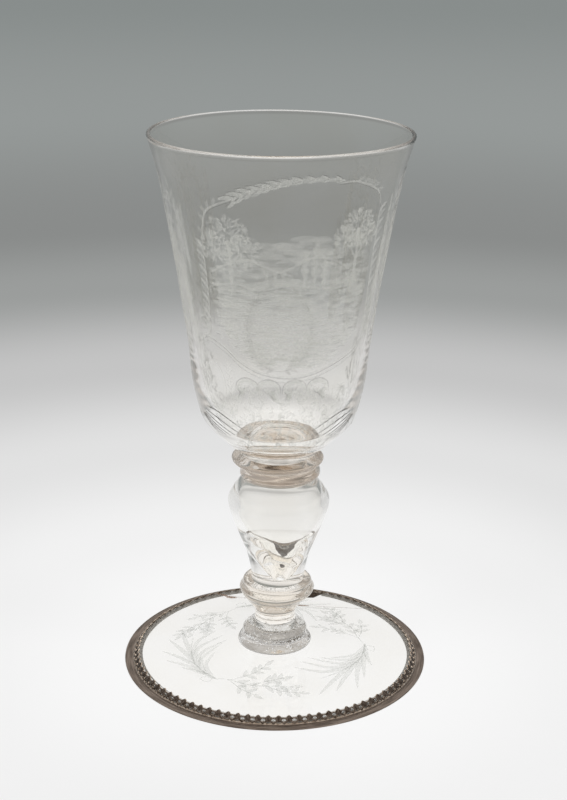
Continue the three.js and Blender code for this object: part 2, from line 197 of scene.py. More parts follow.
def linear(colour):
    """Turns an sRGB hex colour into linear red, green and blue."""
    shares = [int(colour[i:i + 2], 16) / 255 for i in (0, 2, 4)]
    return tuple(s / 12.92 if s <= 0.04045 else ((s + 0.055) / 1.055) ** 2.4 for s in shares)


def colour(name, srgb, description):
    """A colour property. Its default is given as sRGB hex."""
    return FloatVectorProperty(
        name=name, description=description, default=linear(srgb),
        min=0.0, max=1.0, size=3, subtype="COLOR",
    )


class GobletBowlSizes(PropertyGroup):
    """The bowl. Its height, rim and place come from the CAD node."""
    middle_radius: length("Middle radius", 41.5, "Outer radius half way up the wall")
    shoulder_radius: length("Shoulder radius", 33.7, "Outer radius where the underside turns into the wall")
    seat_radius: length("Seat radius", 14.7, "Radius of the joint with the disc under the bowl")
    shoulder_height: length("Shoulder height", 20.5, "Height of the shoulder above the joint")
    floor_thickness: length("Floor thickness", 6.6, "Solid glass under the drink")
    floor_radius: length("Floor radius", 12.0, "Radius of the level floor")
    rim_wall: length("Rim wall", 1.9, "Thickness of the fire-rounded lip")
    shoulder_wall: length("Shoulder wall", 2.6, "Thickness of the wall at the shoulder")


class GobletStemSizes(PropertyGroup):
    """The stem. Heights, widest radii and places come from the CAD nodes."""
    collar_joint_radius: length("Collar joint radius", 17.3, "Joint of the disc and the collar ring")
    baluster_seat_radius: length("Baluster seat radius", 16.4, "Joint of the collar ring and the baluster")
    baluster_foot_radius: length("Baluster foot radius", 11.7, "Joint of the baluster and the lower collar")
    baluster_wall: length("Baluster wall", 3.8, "Glass round the air hollow where the baluster is widest")
    hollow_mouth_radius: length("Hollow mouth radius", 11.0, "Radius of the air hollow at the collar ring")
    hollow_end_height: length("Hollow end height", 0.4, "Solid glass under the air hollow")
    hollow_lean: length("Hollow lean", 0.9, "How far right of the axis the air hollow ends")
    neck_cup_radius: length("Neck cup radius", 14.5, "Joint of the lower collar and the neck")
    neck_radius: length("Neck radius", 9.1, "Thinnest part of the stem")
    knop_joint_radius: length("Knop joint radius", 14.0, "Joint of the knop and the base ring")
    foot_joint_radius: length("Foot joint radius", 16.3, "Joint of the base ring and the foot")
    joint_ease: length("Joint ease", 2.4, "Height over which a gather leans to the joint with its neighbour")


class GobletFootSizes(PropertyGroup):
    """The foot and its break. Radius and place come from the CAD nodes."""
    edge_thickness: length("Edge thickness", 2.0, "Thickness of the rounded edge")
    rise: length("Rise", 4.85, "How far the top rises from the edge to the stem")
    centre_thickness: length("Centre thickness", 3.8, "Glass under the stem")
    seat_margin: length("Seat margin", 1.5, "Level band of the top outside the stem's joint")
    pontil_radius: length("Pontil radius", 9.0, "Radius of the ground mark under the stem")
    pontil_depth: length("Pontil depth", 0.8, "Depth of the ground mark under the stem")
    ledge_inset: length("Ledge inset", 2.75, "Width of the flat rim that rests on the mount")
    break_depth: length("Break depth", 22.8, "From the foot's back edge to the straight part of the break")
    break_step_depth: length("Break step depth", 13.5, "From the foot's back edge to the break's step")
    break_step_right: length("Break step, right", 10.0, "Where the step starts, right of the axis")
    break_step_left: length("Break step, left", -14.0, "Where the step ends, left of the axis")
    crack_gap: length("Crack gap", 0.12, "Width of the glued crack")
    chip_centre: length("Chip centre", 8.5, "Middle of the missing chip, right of the axis")
    chip_width: length("Chip width", 33.0, "Width of the missing chip at the foot's edge")
    chip_depth: length("Chip depth", 12.6, "Depth of the missing chip from the foot's edge")


class GobletMountSizes(PropertyGroup):
    """The silver mount. The place of its gallery's base comes from the CAD node."""
    ledge_overlap: length("Ledge overlap", 2.15, "How far the level ledge reaches under the foot")
    ledge_thickness: length("Ledge thickness", 0.75, "Thickness of the level ledge")
    flange_width: length("Flange width", 3.6, "Width of the sloping flange outside the gallery")
    flange_edge: length("Flange edge", 0.5, "Thickness of the flange at its rolled edge")
    strip_thickness: length("Strip thickness", 0.45, "Thickness of the pierced strip")
    clearance: length("Clearance", 0.33, "Gap between the strip and the foot's rounded edge")
    slope: slant("Slope", 48.7, "How steeply the strip leans in over the foot")
    band_height: length("Band height", 2.1, "Height of the strip between its leaves")
    leaf_height: length("Leaf height", 2.85, "Height of the strip at the tips of its leaves")
    leaves: IntProperty(
        name="Leaves", description="Number of leaves round the strip", default=90, min=12, max=240,
    )


class GobletColours(PropertyGroup):
    """Colours of the glass, the metals and the mend."""
    glass: colour("Glass", "fbfaf7", "Tint of the thin blown glass")
    disc_glass: colour("Disc glass", "c7b9ab", "Beige tint of the disc under the bowl")
    ring_glass: colour("Ring glass", "e5d6c7", "Beige tint of the ring under the disc")
    beige_joint: colour("Beige joint", "e9e1d8", "Tint seen through the bowl's floor and the disc")
    collar_glass: colour("Collar glass", "f9f1e6", "Faint beige tint of the collar and the neck")
    knop_glass: colour("Knop glass", "bcb8b0", "Grey tint of the seedy knop")
    base_glass: colour("Base glass", "ffffff", "Tint of the seedy ring next to the foot")
    dark_tarnish: colour("Dark tarnish", "40362f", "Tarnish in the gallery's hollows")
    light_tarnish: colour("Light tarnish", "a3968c", "Worn tarnish on the flange")
    glue: colour("Glue", "8a6a52", "Aged glue in the crack")


class GobletStageSettings(PropertyGroup):
    """The camera at the photograph's viewing angle, the lamps and the floor."""
    lens: FloatProperty(
        name="Lens", description="Focal length of the camera, in millimetres",
        default=72.5, min=20.0, max=300.0,
    )
    distance: length("Distance", 659.5, "How far in front of the goblet's axis the camera stands")
    height: length("Height", 355.1, "Height of the camera above the floor")
    side: length("Side", 2.8, "How far right of the goblet's axis the camera stands")
    pitch: slant("Pitch", 19.38, "How far down the camera looks")
    roll: slant("Roll", 0.6, "How far the camera leans to the left")
    ambient: FloatProperty(
        name="Ambient", description="Strength of the even light on matt surfaces",
        default=0.62, min=0.0, max=2.0,
    )


# Materials

def add_node(material, kind, inputs=None, **settings):
    """Adds a node. Settings are its own properties. Inputs maps a socket to a value or to an output."""
    made = material.node_tree.nodes.new(kind)
    for name, value in settings.items():
        setattr(made, name, value)
    for socket, value in (inputs or {}).items():
        if isinstance(value, bpy.types.NodeSocket):
            material.node_tree.links.new(value, made.inputs[socket])
        else:
            made.inputs[socket].default_value = value
    return made


def new_material(name):
    """A material with an empty node tree."""
    material = bpy.data.materials.new(name)
    material.use_nodes = True
    material.node_tree.nodes.clear()
    return material


def set_ramp(node, stops):
    """Gives a colour ramp its stops: places from 0 to 1, each with a linear colour."""
    ramp = node.color_ramp
    while len(ramp.elements) < len(stops):
        ramp.elements.new(0.5)
    for element, (place, shade) in zip(ramp.elements, stops):
        element.position = place
        element.color = (*shade, 1.0)


def blown_glass(name, tint, wave_height, wave_length, drift_length=22 * MM, roughness=0.0):
    """Blown glass, tooled while turning and fire polished. Slow waves from the tools bend what is seen
    through it. Its tint drifts over a length, which is short where seeds and grit speckle it. A roughness
    makes it a little hazy, as many fine seeds do."""
    material = new_material(name)
    place = add_node(material, "ShaderNodeTexCoord").outputs["Object"]
    stretched = add_node(material, "ShaderNodeMapping", {"Vector": place, "Scale": (1.0, 1.0, 1.8)})
    waves = add_node(material, "ShaderNodeTexNoise", {
        "Vector": stretched.outputs["Vector"], "Scale": 1 / wave_length, "Detail": 1.5, "Roughness": 0.4,
    })
    bump = add_node(material, "ShaderNodeBump", {
        "Height": waves.outputs["Fac"], "Distance": wave_height, "Strength": 1.0,
    })
    drift = add_node(material, "ShaderNodeTexNoise", {
        "Vector": place, "Scale": 1 / drift_length, "Detail": 1.0,
    })
    shade = add_node(material, "ShaderNodeValToRGB", {"Fac": drift.outputs["Fac"]})
    paler = [1 - 0.6 * (1 - share) for share in tint]
    set_ramp(shade, [(0.35, tint), (0.65, paler)])
    surface = add_node(material, "ShaderNodeBsdfPrincipled", {
        "Base Color": shade.outputs["Color"], "Roughness": roughness, "IOR": 1.5, "Transmission Weight": 1.0,
        "Normal": bump.outputs["Normal"],
    })
    add_node(material, "ShaderNodeOutputMaterial", {"Surface": surface.outputs["BSDF"]})
    return material


def fused_joint():
    """Glass fused to glass: clear all through, because no surface is left between two gathers."""
    material = new_material("fused_glass_joint")
    clear = add_node(material, "ShaderNodeBsdfTransparent", {"Color": (1.0, 1.0, 1.0, 1.0)})
    add_node(material, "ShaderNodeOutputMaterial", {"Surface": clear.outputs["BSDF"]})
    return material


def fused_beige_joint(tint, reach):
    """Clear glass fused to tinted glass. No surface is left there, but the eye that looks down into the
    joint meets the tint, which fades towards the joint's edge, where the tinted glass is thin."""
    material = new_material("fused_beige_joint")
    place = add_node(material, "ShaderNodeTexCoord").outputs["Object"]
    level = add_node(material, "ShaderNodeVectorMath", {0: place, 1: (1.0, 1.0, 0.0)}, operation="MULTIPLY")
    across = add_node(material, "ShaderNodeVectorMath", {0: level.outputs["Vector"]}, operation="LENGTH")
    share = add_node(material, "ShaderNodeMath", {0: across.outputs["Value"], 1: reach}, operation="DIVIDE")
    fade = add_node(material, "ShaderNodeValToRGB", {"Fac": share.outputs["Value"]})
    set_ramp(fade, ((0.0, tint), (0.6, tint), (0.95, (1.0, 1.0, 1.0))))
    clear = add_node(material, "ShaderNodeBsdfTransparent", {"Color": fade.outputs["Color"]})
    add_node(material, "ShaderNodeOutputMaterial", {"Surface": clear.outputs["BSDF"]})
    return material


def thin_cover(name, shade, roughness, grain, noise, cover):
    """A thin matt layer that lets what lies behind show through. Grain is the size and detail of its
    patches, noise the range of the pattern that they use, and cover the least and the most that they hide."""
    material = new_material(name)
    place = add_node(material, "ShaderNodeTexCoord").outputs["Object"]
    size, detail = grain
    patches = add_node(material, "ShaderNodeTexNoise", {"Vector": place, "Scale": 1 / size, "Detail": detail})
    uneven = add_node(material, "ShaderNodeMapRange", {
        "Value": patches.outputs["Fac"], "From Min": noise[0], "From Max": noise[1],
        "To Min": cover[0], "To Max": min(cover[1], 1.0),
    })
    matt = add_node(material, "ShaderNodeBsdfPrincipled", {
        "Base Color": (*shade, 1.0), "Roughness": roughness,
    })
    clear = add_node(material, "ShaderNodeBsdfTransparent")
    both = add_node(material, "ShaderNodeMixShader", {
        0: uneven.outputs["Result"], 1: clear.outputs["BSDF"], 2: matt.outputs["BSDF"],
    })
    add_node(material, "ShaderNodeOutputMaterial", {"Surface": both.outputs["Shader"]})
    return material


def ground_glass_and_painted_shade(name, shade, cover):
    """Glass cut matt by a fine wheel and left unpolished. The grain scatters the light, so a cut looks soft
    white before a dark ground and faintly grey before a white one. Cover is the share of what lies behind
    that the grain hides. The real grain is too fine to show, so it is drawn coarser. Given a dark shade, the
    same layer draws thin lines of painted shade instead."""
    return thin_cover(name, linear(shade), 0.5, (1.5 * MM, 2.0), (0.3, 0.7), (0.65 * cover, 1.3 * cover))


def tarnished_silver(name, dark, light, roughness, grain, streak=1.0, metallic=1.0):
    """Silver sheet, hammered to shape and dulled by tarnish. The tarnish is patchy. A streak above 1 draws
    the patches out along the ring, as polishing cloths have left them."""
    material = new_material(name)
    place = add_node(material, "ShaderNodeTexCoord").outputs["Object"]
    level = add_node(material, "ShaderNodeVectorMath", {0: place, 1: (1.0, 1.0, 0.0)}, operation="MULTIPLY")
    radius = add_node(material, "ShaderNodeVectorMath", {0: level.outputs[0]}, operation="LENGTH")
    heading = add_node(material, "ShaderNodeVectorMath", {0: level.outputs[0]}, operation="NORMALIZE")
    round_ring = add_node(material, "ShaderNodeVectorMath", {
        0: heading.outputs[0], "Scale": MOUNT_RADIUS / (grain * streak),
    }, operation="SCALE")
    outward = add_node(material, "ShaderNodeMath", {
        0: radius.outputs["Value"], 1: 1 / grain,
    }, operation="MULTIPLY")
    upward = add_node(material, "ShaderNodeCombineXYZ", {"Z": outward.outputs[0]})
    laid_out = add_node(material, "ShaderNodeVectorMath", {
        0: round_ring.outputs[0], 1: upward.outputs[0],
    }, operation="ADD")
    patches = add_node(material, "ShaderNodeTexNoise", {
        "Vector": laid_out.outputs[0], "Scale": 1.0, "Detail": 4.0, "Roughness": 0.6,
    })
    shade = add_node(material, "ShaderNodeValToRGB", {"Fac": patches.outputs["Fac"]})
    set_ramp(shade, [(0.36, dark), (0.66, light)])
    bump = add_node(material, "ShaderNodeBump", {
        "Height": patches.outputs["Fac"], "Distance": 0.12 * MM, "Strength": 0.7,
    })
    surface = add_node(material, "ShaderNodeBsdfPrincipled", {
        "Base Color": shade.outputs["Color"], "Metallic": metallic, "Roughness": roughness,
        "Normal": bump.outputs["Normal"],
    })
    add_node(material, "ShaderNodeOutputMaterial", {"Surface": surface.outputs["BSDF"]})
    return material


def aged_glue(name, shade, cover):
    """Old glue that has oozed from the crack and gone brown. It is thin and uneven, so glass shows
    through."""
    return thin_cover(name, shade, 0.6, (1.2 * MM, 3.0), (0.35, 0.65), (0.2 * cover, 1.5 * cover))


# Outlines. A point is a radius and a height.

def smooth(points, steps=SPAN_STEPS):
    """A smooth curve through the points, the same curve that the CAD outlines follow."""
    last = len(points) - 1
    curve = []
    for i in range(last):
        before, start, end, after = (Vector(points[min(max(i + k, 0), last)]) for k in (-1, 0, 1, 2))
        for step in range(steps):
            t = step / steps
            bend = 2 * before - 5 * start + 4 * end - after
            twist = 3 * start - before - 3 * end + after
            curve.append(0.5 * (2 * start + (end - before) * t + bend * t ** 2 + twist * t ** 3))
    curve.append(Vector(points[last]))
    return curve


def arc(centre, radius, start, end, steps=ARC_STEPS):
    """A round stretch about a centre, between two angles in degrees."""
    points = []
    for step in range(steps + 1):
        angle = math.radians(start + (end - start) * step / steps)
        points.append(Vector((centre[0] + radius * math.cos(angle), centre[1] + radius * math.sin(angle))))
    return points


def raised(outline, height):
    """The outline moved up."""
    return [Vector((point[0], point[1] + height)) for point in outline]


# Meshes

def turned(outline, steps, closed=False):
    """Spins an outline about the vertical axis and closes its seam and poles."""
    mesh = bmesh.new()
    corners = []
    for radius, height in outline:
        if not corners or (corners[-1].co - Vector((radius, 0.0, height))).length > TOUCHING:
            corners.append(mesh.verts.new((radius, 0.0, height)))
    edges = [mesh.edges.new(pair) for pair in zip(corners, corners[1:])]
    if closed:
        edges.append(mesh.edges.new((corners[-1], corners[0])))
    bmesh.ops.spin(
        mesh, geom=corners + edges, cent=(0, 0, 0), axis=(0, 0, 1), angle=math.tau, steps=steps,
        use_merge=True,
    )
    bmesh.ops.remove_doubles(mesh, verts=mesh.verts, dist=TOUCHING)
    bmesh.ops.recalc_face_normals(mesh, faces=mesh.faces)
    return mesh


def cutter_over(plan):
    """An upright solid over a plan outline, taller than the foot."""
    mesh = bmesh.new()
    base = mesh.faces.new([mesh.verts.new((x, y, CUTTER_LOW)) for x, y in plan])
    grown = bmesh.ops.extrude_face_region(mesh, geom=[base])["geom"]
    top = [item for item in grown if isinstance(item, bmesh.types.BMVert)]
    bmesh.ops.translate(mesh, vec=(0, 0, CUTTER_HIGH - CUTTER_LOW), verts=top)
    bmesh.ops.recalc_face_normals(mesh, faces=mesh.faces)
    return mesh


def crease(mesh):
    """Shades the mesh smooth, but keeps its corners sharp."""
    for face in mesh.faces:
        face.smooth = True
    for edge in mesh.edges:
        edge.smooth = edge.is_manifold and edge.calc_face_angle() < math.radians(CREASE_DEGREES)


def fuse(mesh, height, inner=0.0, outer=1.0):
    """Gives the level faces at a joint plane the second material, between two radii."""
    for face in mesh.faces:
        radius = face.calc_center_median().xy.length
        level = all(abs(corner.co.z - height) < LEVEL_WITHIN for corner in face.verts)
        if level and inner < radius < outer:
            face.material_index = 1


def new_piece(context, name, mesh, materials, nodes=()):
    """Makes the finished piece and puts it in place of its CAD nodes."""
    data = bpy.data.meshes.new(name)
    mesh.to_mesh(data)
    mesh.free()
    for material in materials:
        data.materials.append(material)
    piece = bpy.data.objects.new(name, data)
    context.scene.collection.objects.link(piece)
    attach(piece, "root")
    if nodes:
        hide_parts(*nodes)
    return piece


def cut(context, mesh, cutter_mesh, operation):
    """The mesh with a cutter taken away from it, or what both share."""
    solid = bpy.data.objects.new("cut_solid", bpy.data.meshes.new("cut_solid"))
    cutter = bpy.data.objects.new("cutter", bpy.data.meshes.new("cutter"))
    for made, source in ((solid, mesh), (cutter, cutter_mesh)):
        source.to_mesh(made.data)
        source.free()
        context.scene.collection.objects.link(made)
    step = solid.modifiers.new("cut", "BOOLEAN")
    step.solver = "EXACT"
    step.operation = operation
    step.object = cutter
    shaped = solid.evaluated_get(context.evaluated_depsgraph_get())
    result = bmesh.new()
    result.from_mesh(shaped.to_mesh())
    shaped.to_mesh_clear()
    for made in (solid, cutter):
        data = made.data
        bpy.data.objects.remove(made)
        bpy.data.meshes.remove(data)
    return result


# Places of the gathers, from the CAD nodes

class Place:
    """Where a turned CAD node stands: its levels, its axis to the right of the mount's, its widest radius.
    The foot plate stands on the mount's axis, which its box doesn't show, because a piece is broken off."""

    def __init__(self, node):
        low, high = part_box(node)
        self.low = low.z
        self.high = high.z
        self.height = high.z - low.z
        self.radius = (high.y - low.y) / 2
        self.axis = 0.0 if node == "foot_plate" else (low.x + high.x) / 2


def joint_axis(upper, lower):
    """The axis on which two neighbouring gathers meet."""
    return (Place(upper).axis + Place(lower).axis) / 2


def ease(share):
    """A share from 0 to 1 that starts and ends gently."""
    share = min(max(share, 0.0), 1.0)
    return share * share * (3 - 2 * share)


def lean_to_joints(mesh, node, ease_height):
    """Stands a turned mesh on its own axis, leaning at its two ends to the joints with its neighbours."""
    place = Place(node)
    at = STACK.index(node)
    top = joint_axis(STACK[at - 1], node) if at > 0 else place.axis
    bottom = joint_axis(node, STACK[at + 1])
    reach = min(ease_height, 0.4 * place.height)
    for corner in mesh.verts:
        to_bottom = 1 - ease((corner.co.z - place.low) / reach)
        to_top = 1 - ease((place.high - corner.co.z) / reach)
        corner.co.x += place.axis + to_bottom * (bottom - place.axis) + to_top * (top - place.axis)


def join_up(mesh, node, ease_height, mouth=0.0):
    """Fuses a turned stem piece to its neighbours and stands it between them. No glass meets it inside the
    mouth of a hollow in the piece below."""
    place = Place(node)
    fuse(mesh, place.low, inner=mouth)
    fuse(mesh, place.high)
    crease(mesh)
    lean_to_joints(mesh, node, ease_height)


def gather(node, side, ease_height, unevenness):
    """A solid stem piece from its side outline, fused to its neighbours at both ends. Unevenness is the
    share of the radius by which hand tooling has left it out of round."""
    place = Place(node)
    outline = [Vector((0.0, 0.0)), *side, Vector((0.0, place.height))]
    mesh = turned(raised(outline, place.low), STEM_STEPS)
    for corner in mesh.verts:
        swell = unevenness * math.sin(math.pi * (corner.co.z - place.low) / place.height)
        angle = math.atan2(corner.co.y, corner.co.x)
        corner.co.xy *= 1 + swell * (math.sin(3 * angle + 1) + 0.6 * math.sin(5 * angle))
    join_up(mesh, node, ease_height)
    return mesh


def add_seeds(mesh, side, low, count, dice):
    """Small air bubbles in the glass, under its outer side. Their faces point into the air."""
    bottom, top = side[0][1], side[-1][1]
    for _ in range(count):
        height = dice.uniform(bottom + 0.15 * (top - bottom), top - 0.15 * (top - bottom))
        angle = dice.uniform(0, math.tau)
        size = dice.uniform(0.22, 0.65) * MM
        reach = between(side, height, 1, 0) - dice.uniform(1.0, 4.5) * MM
        place = Matrix.Translation((reach * math.cos(angle), reach * math.sin(angle), low + height))
        flattened = place @ Matrix.Diagonal((1.0, 1.0, 0.7, 1.0))
        bubble = bmesh.ops.create_icosphere(mesh, subdivisions=1, radius=size, matrix=flattened)["verts"]
        bmesh.ops.reverse_faces(mesh, faces=list({face for corner in bubble for face in corner.link_faces}))


def bowl_wall(sizes, place):
    """The bowl's outer wall from the shoulder to the lip: nearly straight at first, then flaring."""
    rise = place.height - sizes.rim_wall / 2 - sizes.shoulder_height
    to_middle = sizes.middle_radius - sizes.shoulder_radius
    to_rim = place.radius - sizes.middle_radius
    return [
        (sizes.shoulder_radius, sizes.shoulder_height),
        (sizes.shoulder_radius + 0.43 * to_middle, sizes.shoulder_height + 0.12 * rise),
        (sizes.shoulder_radius + 0.76 * to_middle, sizes.shoulder_height + 0.31 * rise),
        (sizes.middle_radius + 0.115 * to_rim, sizes.shoulder_height + 0.51 * rise),
        (sizes.middle_radius + 0.437 * to_rim, sizes.shoulder_height + 0.73 * rise),
        (sizes.middle_radius + 0.7 * to_rim, sizes.shoulder_height + 0.88 * rise),
        (place.radius, sizes.shoulder_height + rise),
    ]


def bowl_outside(sizes, place):
    """The bowl's whole outer side, from the joint under it to the lip."""
    underside = sizes.shoulder_radius - sizes.seat_radius
    return smooth([
        (sizes.seat_radius, 0.0),
        (sizes.seat_radius + 0.2 * underside, 0.15 * sizes.shoulder_height),
        (sizes.seat_radius + 0.5 * underside, 0.41 * sizes.shoulder_height),
        (sizes.seat_radius + 0.85 * underside, 0.74 * sizes.shoulder_height),
        *bowl_wall(sizes, place),
    ])


def foot_radius():
    """The plate's front edge is whole, so its reach there is the foot's radius."""
    return -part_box("foot_plate")[0].y


def foot_top(sizes, joint, place):
    """The foot's domed top, from the rounded edge in to the level band round the stem."""
    radius = foot_radius()
    rounding = sizes.edge_thickness / 2
    return smooth([
        (radius - rounding, sizes.edge_thickness),
        (0.73 * radius, sizes.edge_thickness + 0.22 * sizes.rise),
        (0.45 * radius, sizes.edge_thickness + 0.68 * sizes.rise),
        (joint + sizes.seat_margin, place.height),
    ], FOOT_TOP_STEPS)


def between(points, at, key, value):
    """Reads a rising outline at a place: key and value say which coordinate is which."""
    for start, end in zip(points, points[1:]):
        if start[key] <= at <= end[key]:
            share = (at - start[key]) / (end[key] - start[key])
            return start[value] + share * (end[value] - start[value])
    return points[0][value] if at < points[0][key] else points[-1][value]


# Engraving. Each cut of the wheel is a thin matt strip on the glass, laid out flat in millimetres and then
# wrapped on to the piece. The thin lines of painted shade beside some cuts are drawn the same way.

def along(points, share):
    """The place at a share of the way along a smooth line, and the direction there."""
    at = min(max(share, 0.0), 1.0) * (len(points) - 1)
    first = min(int(at), len(points) - 2)
    step = points[first + 1] - points[first]
    return points[first] + (at - first) * step, step.normalized()


def turned_by(direction, degrees):
    """A flat direction turned to the left."""
    angle = math.radians(degrees)
    cosine, sine = math.cos(angle), math.sin(angle)
    return Vector((direction.x * cosine - direction.y * sine, direction.x * sine + direction.y * cosine))


def leaning(degrees):
    """The direction straight up the plan, leaned to the left."""
    return turned_by(Vector((0.0, 1.0)), degrees)


def on_bowl(context):
    """Wraps the plan on to the bowl's wall. Across is measured round the wall at the plan's radius, and
    height above the table."""
    place = Place("bowl")
    outside = bowl_outside(context.scene.goblet_bowl, place)

    def wrap(across, height, rise):
        angle = across / PLAN_RADIUS
        radius = between(outside, height * MM - place.low, 1, 0) + CUT_LIFT + rise
        return Vector((place.axis + radius * math.sin(angle), -radius * math.cos(angle), height * MM))

    return wrap


def on_foot(context):
    """Lays the plan on the foot's domed top. Places are measured from the mount's axis."""
    place = Place("foot_plate")
    top = foot_top(context.scene.goblet_foot, context.scene.goblet_stem.foot_joint_radius, place)[::-1]

    def wrap(x, y, rise):
        height = between(top, math.hypot(x, y) * MM, 0, 1)
        return Vector((x * MM, y * MM, place.low + height + CUT_LIFT + rise))

    return wrap


class Engraving:
    """Collects the cuts on one piece of glass. Places are flat, in millimetres."""

    def __init__(self, wrap, seed):
        self.mesh = bmesh.new()
        self.finished_parts = []
        self.wrap = wrap
        self.dice = random.Random(seed)

    def cut(self, points, width, blunt=0.6, heel=1.0, depth=DEEP, steps=0, lift=0.0):
        """One cut along a smooth line. It runs out at both ends, more suddenly where blunt is small. A heel
        below 1 brings its widest part nearer to its start."""
        line = smooth(points, LINE_STEPS)
        reach = sum((end - start).length for start, end in zip(line, line[1:]))
        count = steps or max(4, math.ceil(reach / CUT_STEP))
        across = 1 if width < ROUNDED_FROM else 2 * math.ceil(width / 4)
        strip = bmesh.ops.create_grid(self.mesh, x_segments=count, y_segments=across, size=0.5)["verts"]
        for corner in strip:
            share, side = corner.co.x + 0.5, 2 * corner.co.y
            place, direction = along(line, share)
            half = 0.5 * width * max(math.sin(math.pi * share ** heel), 0.08) ** blunt
            rise = lift + (0.0 if across == 1 else 0.16 * half * (1 - side * side))
            corner.co = self.wrap(
                place.x - direction.y * side * half, place.y + direction.x * side * half, rise * MM,
            )
        for face in {face for corner in strip for face in corner.link_faces}:
            face.material_index = depth
        if len(self.mesh.verts) > PART_CORNERS:
            self.finish_part()

    def cut_with_painted_shade(self, points, width, blunt=0.3):
        """A bright cut with a thin line of painted shade along its lower edge, where its steep side
        looks dark.
        """
        self.cut(points, width, blunt=blunt)
        lower = [(x + 0.2 * width, y - 0.75 * width) for x, y in points]
        self.cut(lower, 0.4 * width, blunt=blunt, depth=PAINTED_SHADE)

    def leaf(self, base, direction, length, width, bend=0.0, depth=DEEP, shade_line=False):
        """One short wide cut from its base, bent to the left by a share of its length. It can have a thin
        line of painted shade along its right side, where a steep side looks dark."""
        middle = base + direction * (0.5 * length) + turned_by(direction, 90) * (bend * length)
        points = [base, middle, base + direction * length]
        self.cut(points, width, blunt=0.75, heel=0.75, depth=depth, steps=6)
        if shade_line:
            side = turned_by(direction, -90) * (0.5 * width)
            self.cut([point + side for point in points], 0.4, depth=PAINTED_SHADE, steps=5, lift=0.02)

    def scroll(self, centre, radius, side, start, turns, leaf_length, count):
        """A stalk that rolls up, clockwise where side is -1, with leaves on its outer edge."""
        centre = Vector(centre)
        points = []
        for step in range(SCROLL_STEPS + 1):
            angle = math.radians(start + side * 360 * turns * step / SCROLL_STEPS)
            grown = radius * (1 - 0.72 * step / SCROLL_STEPS)
            points.append(centre + grown * Vector((math.cos(angle), math.sin(angle))))
        self.cut_with_painted_shade(points, 0.9)
        line = smooth(points, LINE_STEPS)
        for number in range(count):
            share = 0.04 + 0.62 * number / count
            place, _ = along(line, share)
            out = turned_by((place - centre).normalized(), -side * 40)
            size = leaf_length * (1 - 0.45 * number / count)
            self.leaf(place, out, size, 0.42 * size, 0.16 * side, depth=SHALLOW)

    def sprig(self, points, leaf_length, leaf_width, count, lean=38.0, start=0.12, depth=DEEP):
        """A fine stalk with pairs of leaves along it, the last leaf at its tip."""
        self.cut(points, 0.3 * leaf_width, blunt=0.3, depth=depth)
        line = smooth(points, LINE_STEPS)
        for number in range(count):
            for side in (1, -1):
                share = start + (0.97 - start) * (number + 0.3 * (side < 0)) / count
                place, direction = along(line, share)
                grown = leaf_length * self.dice.uniform(0.8, 1.15)
                turn = side * lean * self.dice.uniform(0.8, 1.2)
                self.leaf(place, turned_by(direction, turn), grown, leaf_width, -0.08 * side, depth)
        place, direction = along(line, 1.0)
        self.leaf(place, direction, leaf_length, leaf_width, depth=depth)

    def foliage(self, centre, half_width, half_height, count, size):
        """A tree's crown: short dabs inside an oval, thicker toward its edge and pointing outward."""
        for _ in range(count):
            angle = self.dice.uniform(0, math.tau)
            reach = self.dice.random() ** 0.55
            out = Vector((half_width * math.cos(angle), half_height * math.sin(angle)))
            turn = self.dice.uniform(-50, 50)
            grown = size * self.dice.uniform(0.7, 1.3)
            base = Vector(centre) + reach * out
            depth = DEEP if self.dice.random() < 0.25 else SHALLOW
            self.leaf(base, turned_by(out.normalized(), turn), grown, 0.45 * grown, depth=depth)

    def hatch(self, low, high, left, right, count, width, depth=SHALLOW, longest=9.0):
        """Level strokes strewn over a field. Left and right give its edges at a height."""
        for number in range(count):
            height = low + (high - low) * (number + self.dice.random()) / count
            field = right(height) - left(height)
            reach = min(self.dice.uniform(0.3 * longest, longest), 0.9 * field)
            start = left(height) + self.dice.uniform(0.0, field - reach)
            sag = self.dice.uniform(-0.5, 0.5)
            points = [(start, height), (start + reach / 2, height + sag), (start + reach, height)]
            self.cut(points, width, blunt=0.5, depth=depth)

    def oval(self, centre, half_width, half_height, width):
        """A closed oval line."""
        points = []
        for step in range(OVAL_STEPS + 1):
            angle = math.tau * step / OVAL_STEPS
            across = centre[0] + half_width * math.cos(angle)
            points.append((across, centre[1] + half_height * math.sin(angle)))
        self.cut(points, width, blunt=0.1)

    def finish_part(self):
        """Gives the cuts so far their little thickness, and starts on the next ones."""
        bmesh.ops.recalc_face_normals(self.mesh, faces=self.mesh.faces)
        bmesh.ops.solidify(self.mesh, geom=self.mesh.faces, thickness=CUT_THICKNESS)
        bmesh.ops.recalc_face_normals(self.mesh, faces=self.mesh.faces)
        crease(self.mesh)
        data = bpy.data.meshes.new("cuts")
        self.mesh.to_mesh(data)
        self.finished_parts.append(data)
        self.mesh.free()
        self.mesh = bmesh.new()

    def finish(self, context, name, materials):
        """Makes a piece from all the cuts so far, and starts on the next piece."""
        self.finish_part()
        for data in self.finished_parts:
            self.mesh.from_mesh(data)
            bpy.data.meshes.remove(data)
        new_piece(context, name, self.mesh, materials)
        self.mesh = bmesh.new()
        self.finished_parts = []


# Operators, one for each piece or group of like pieces

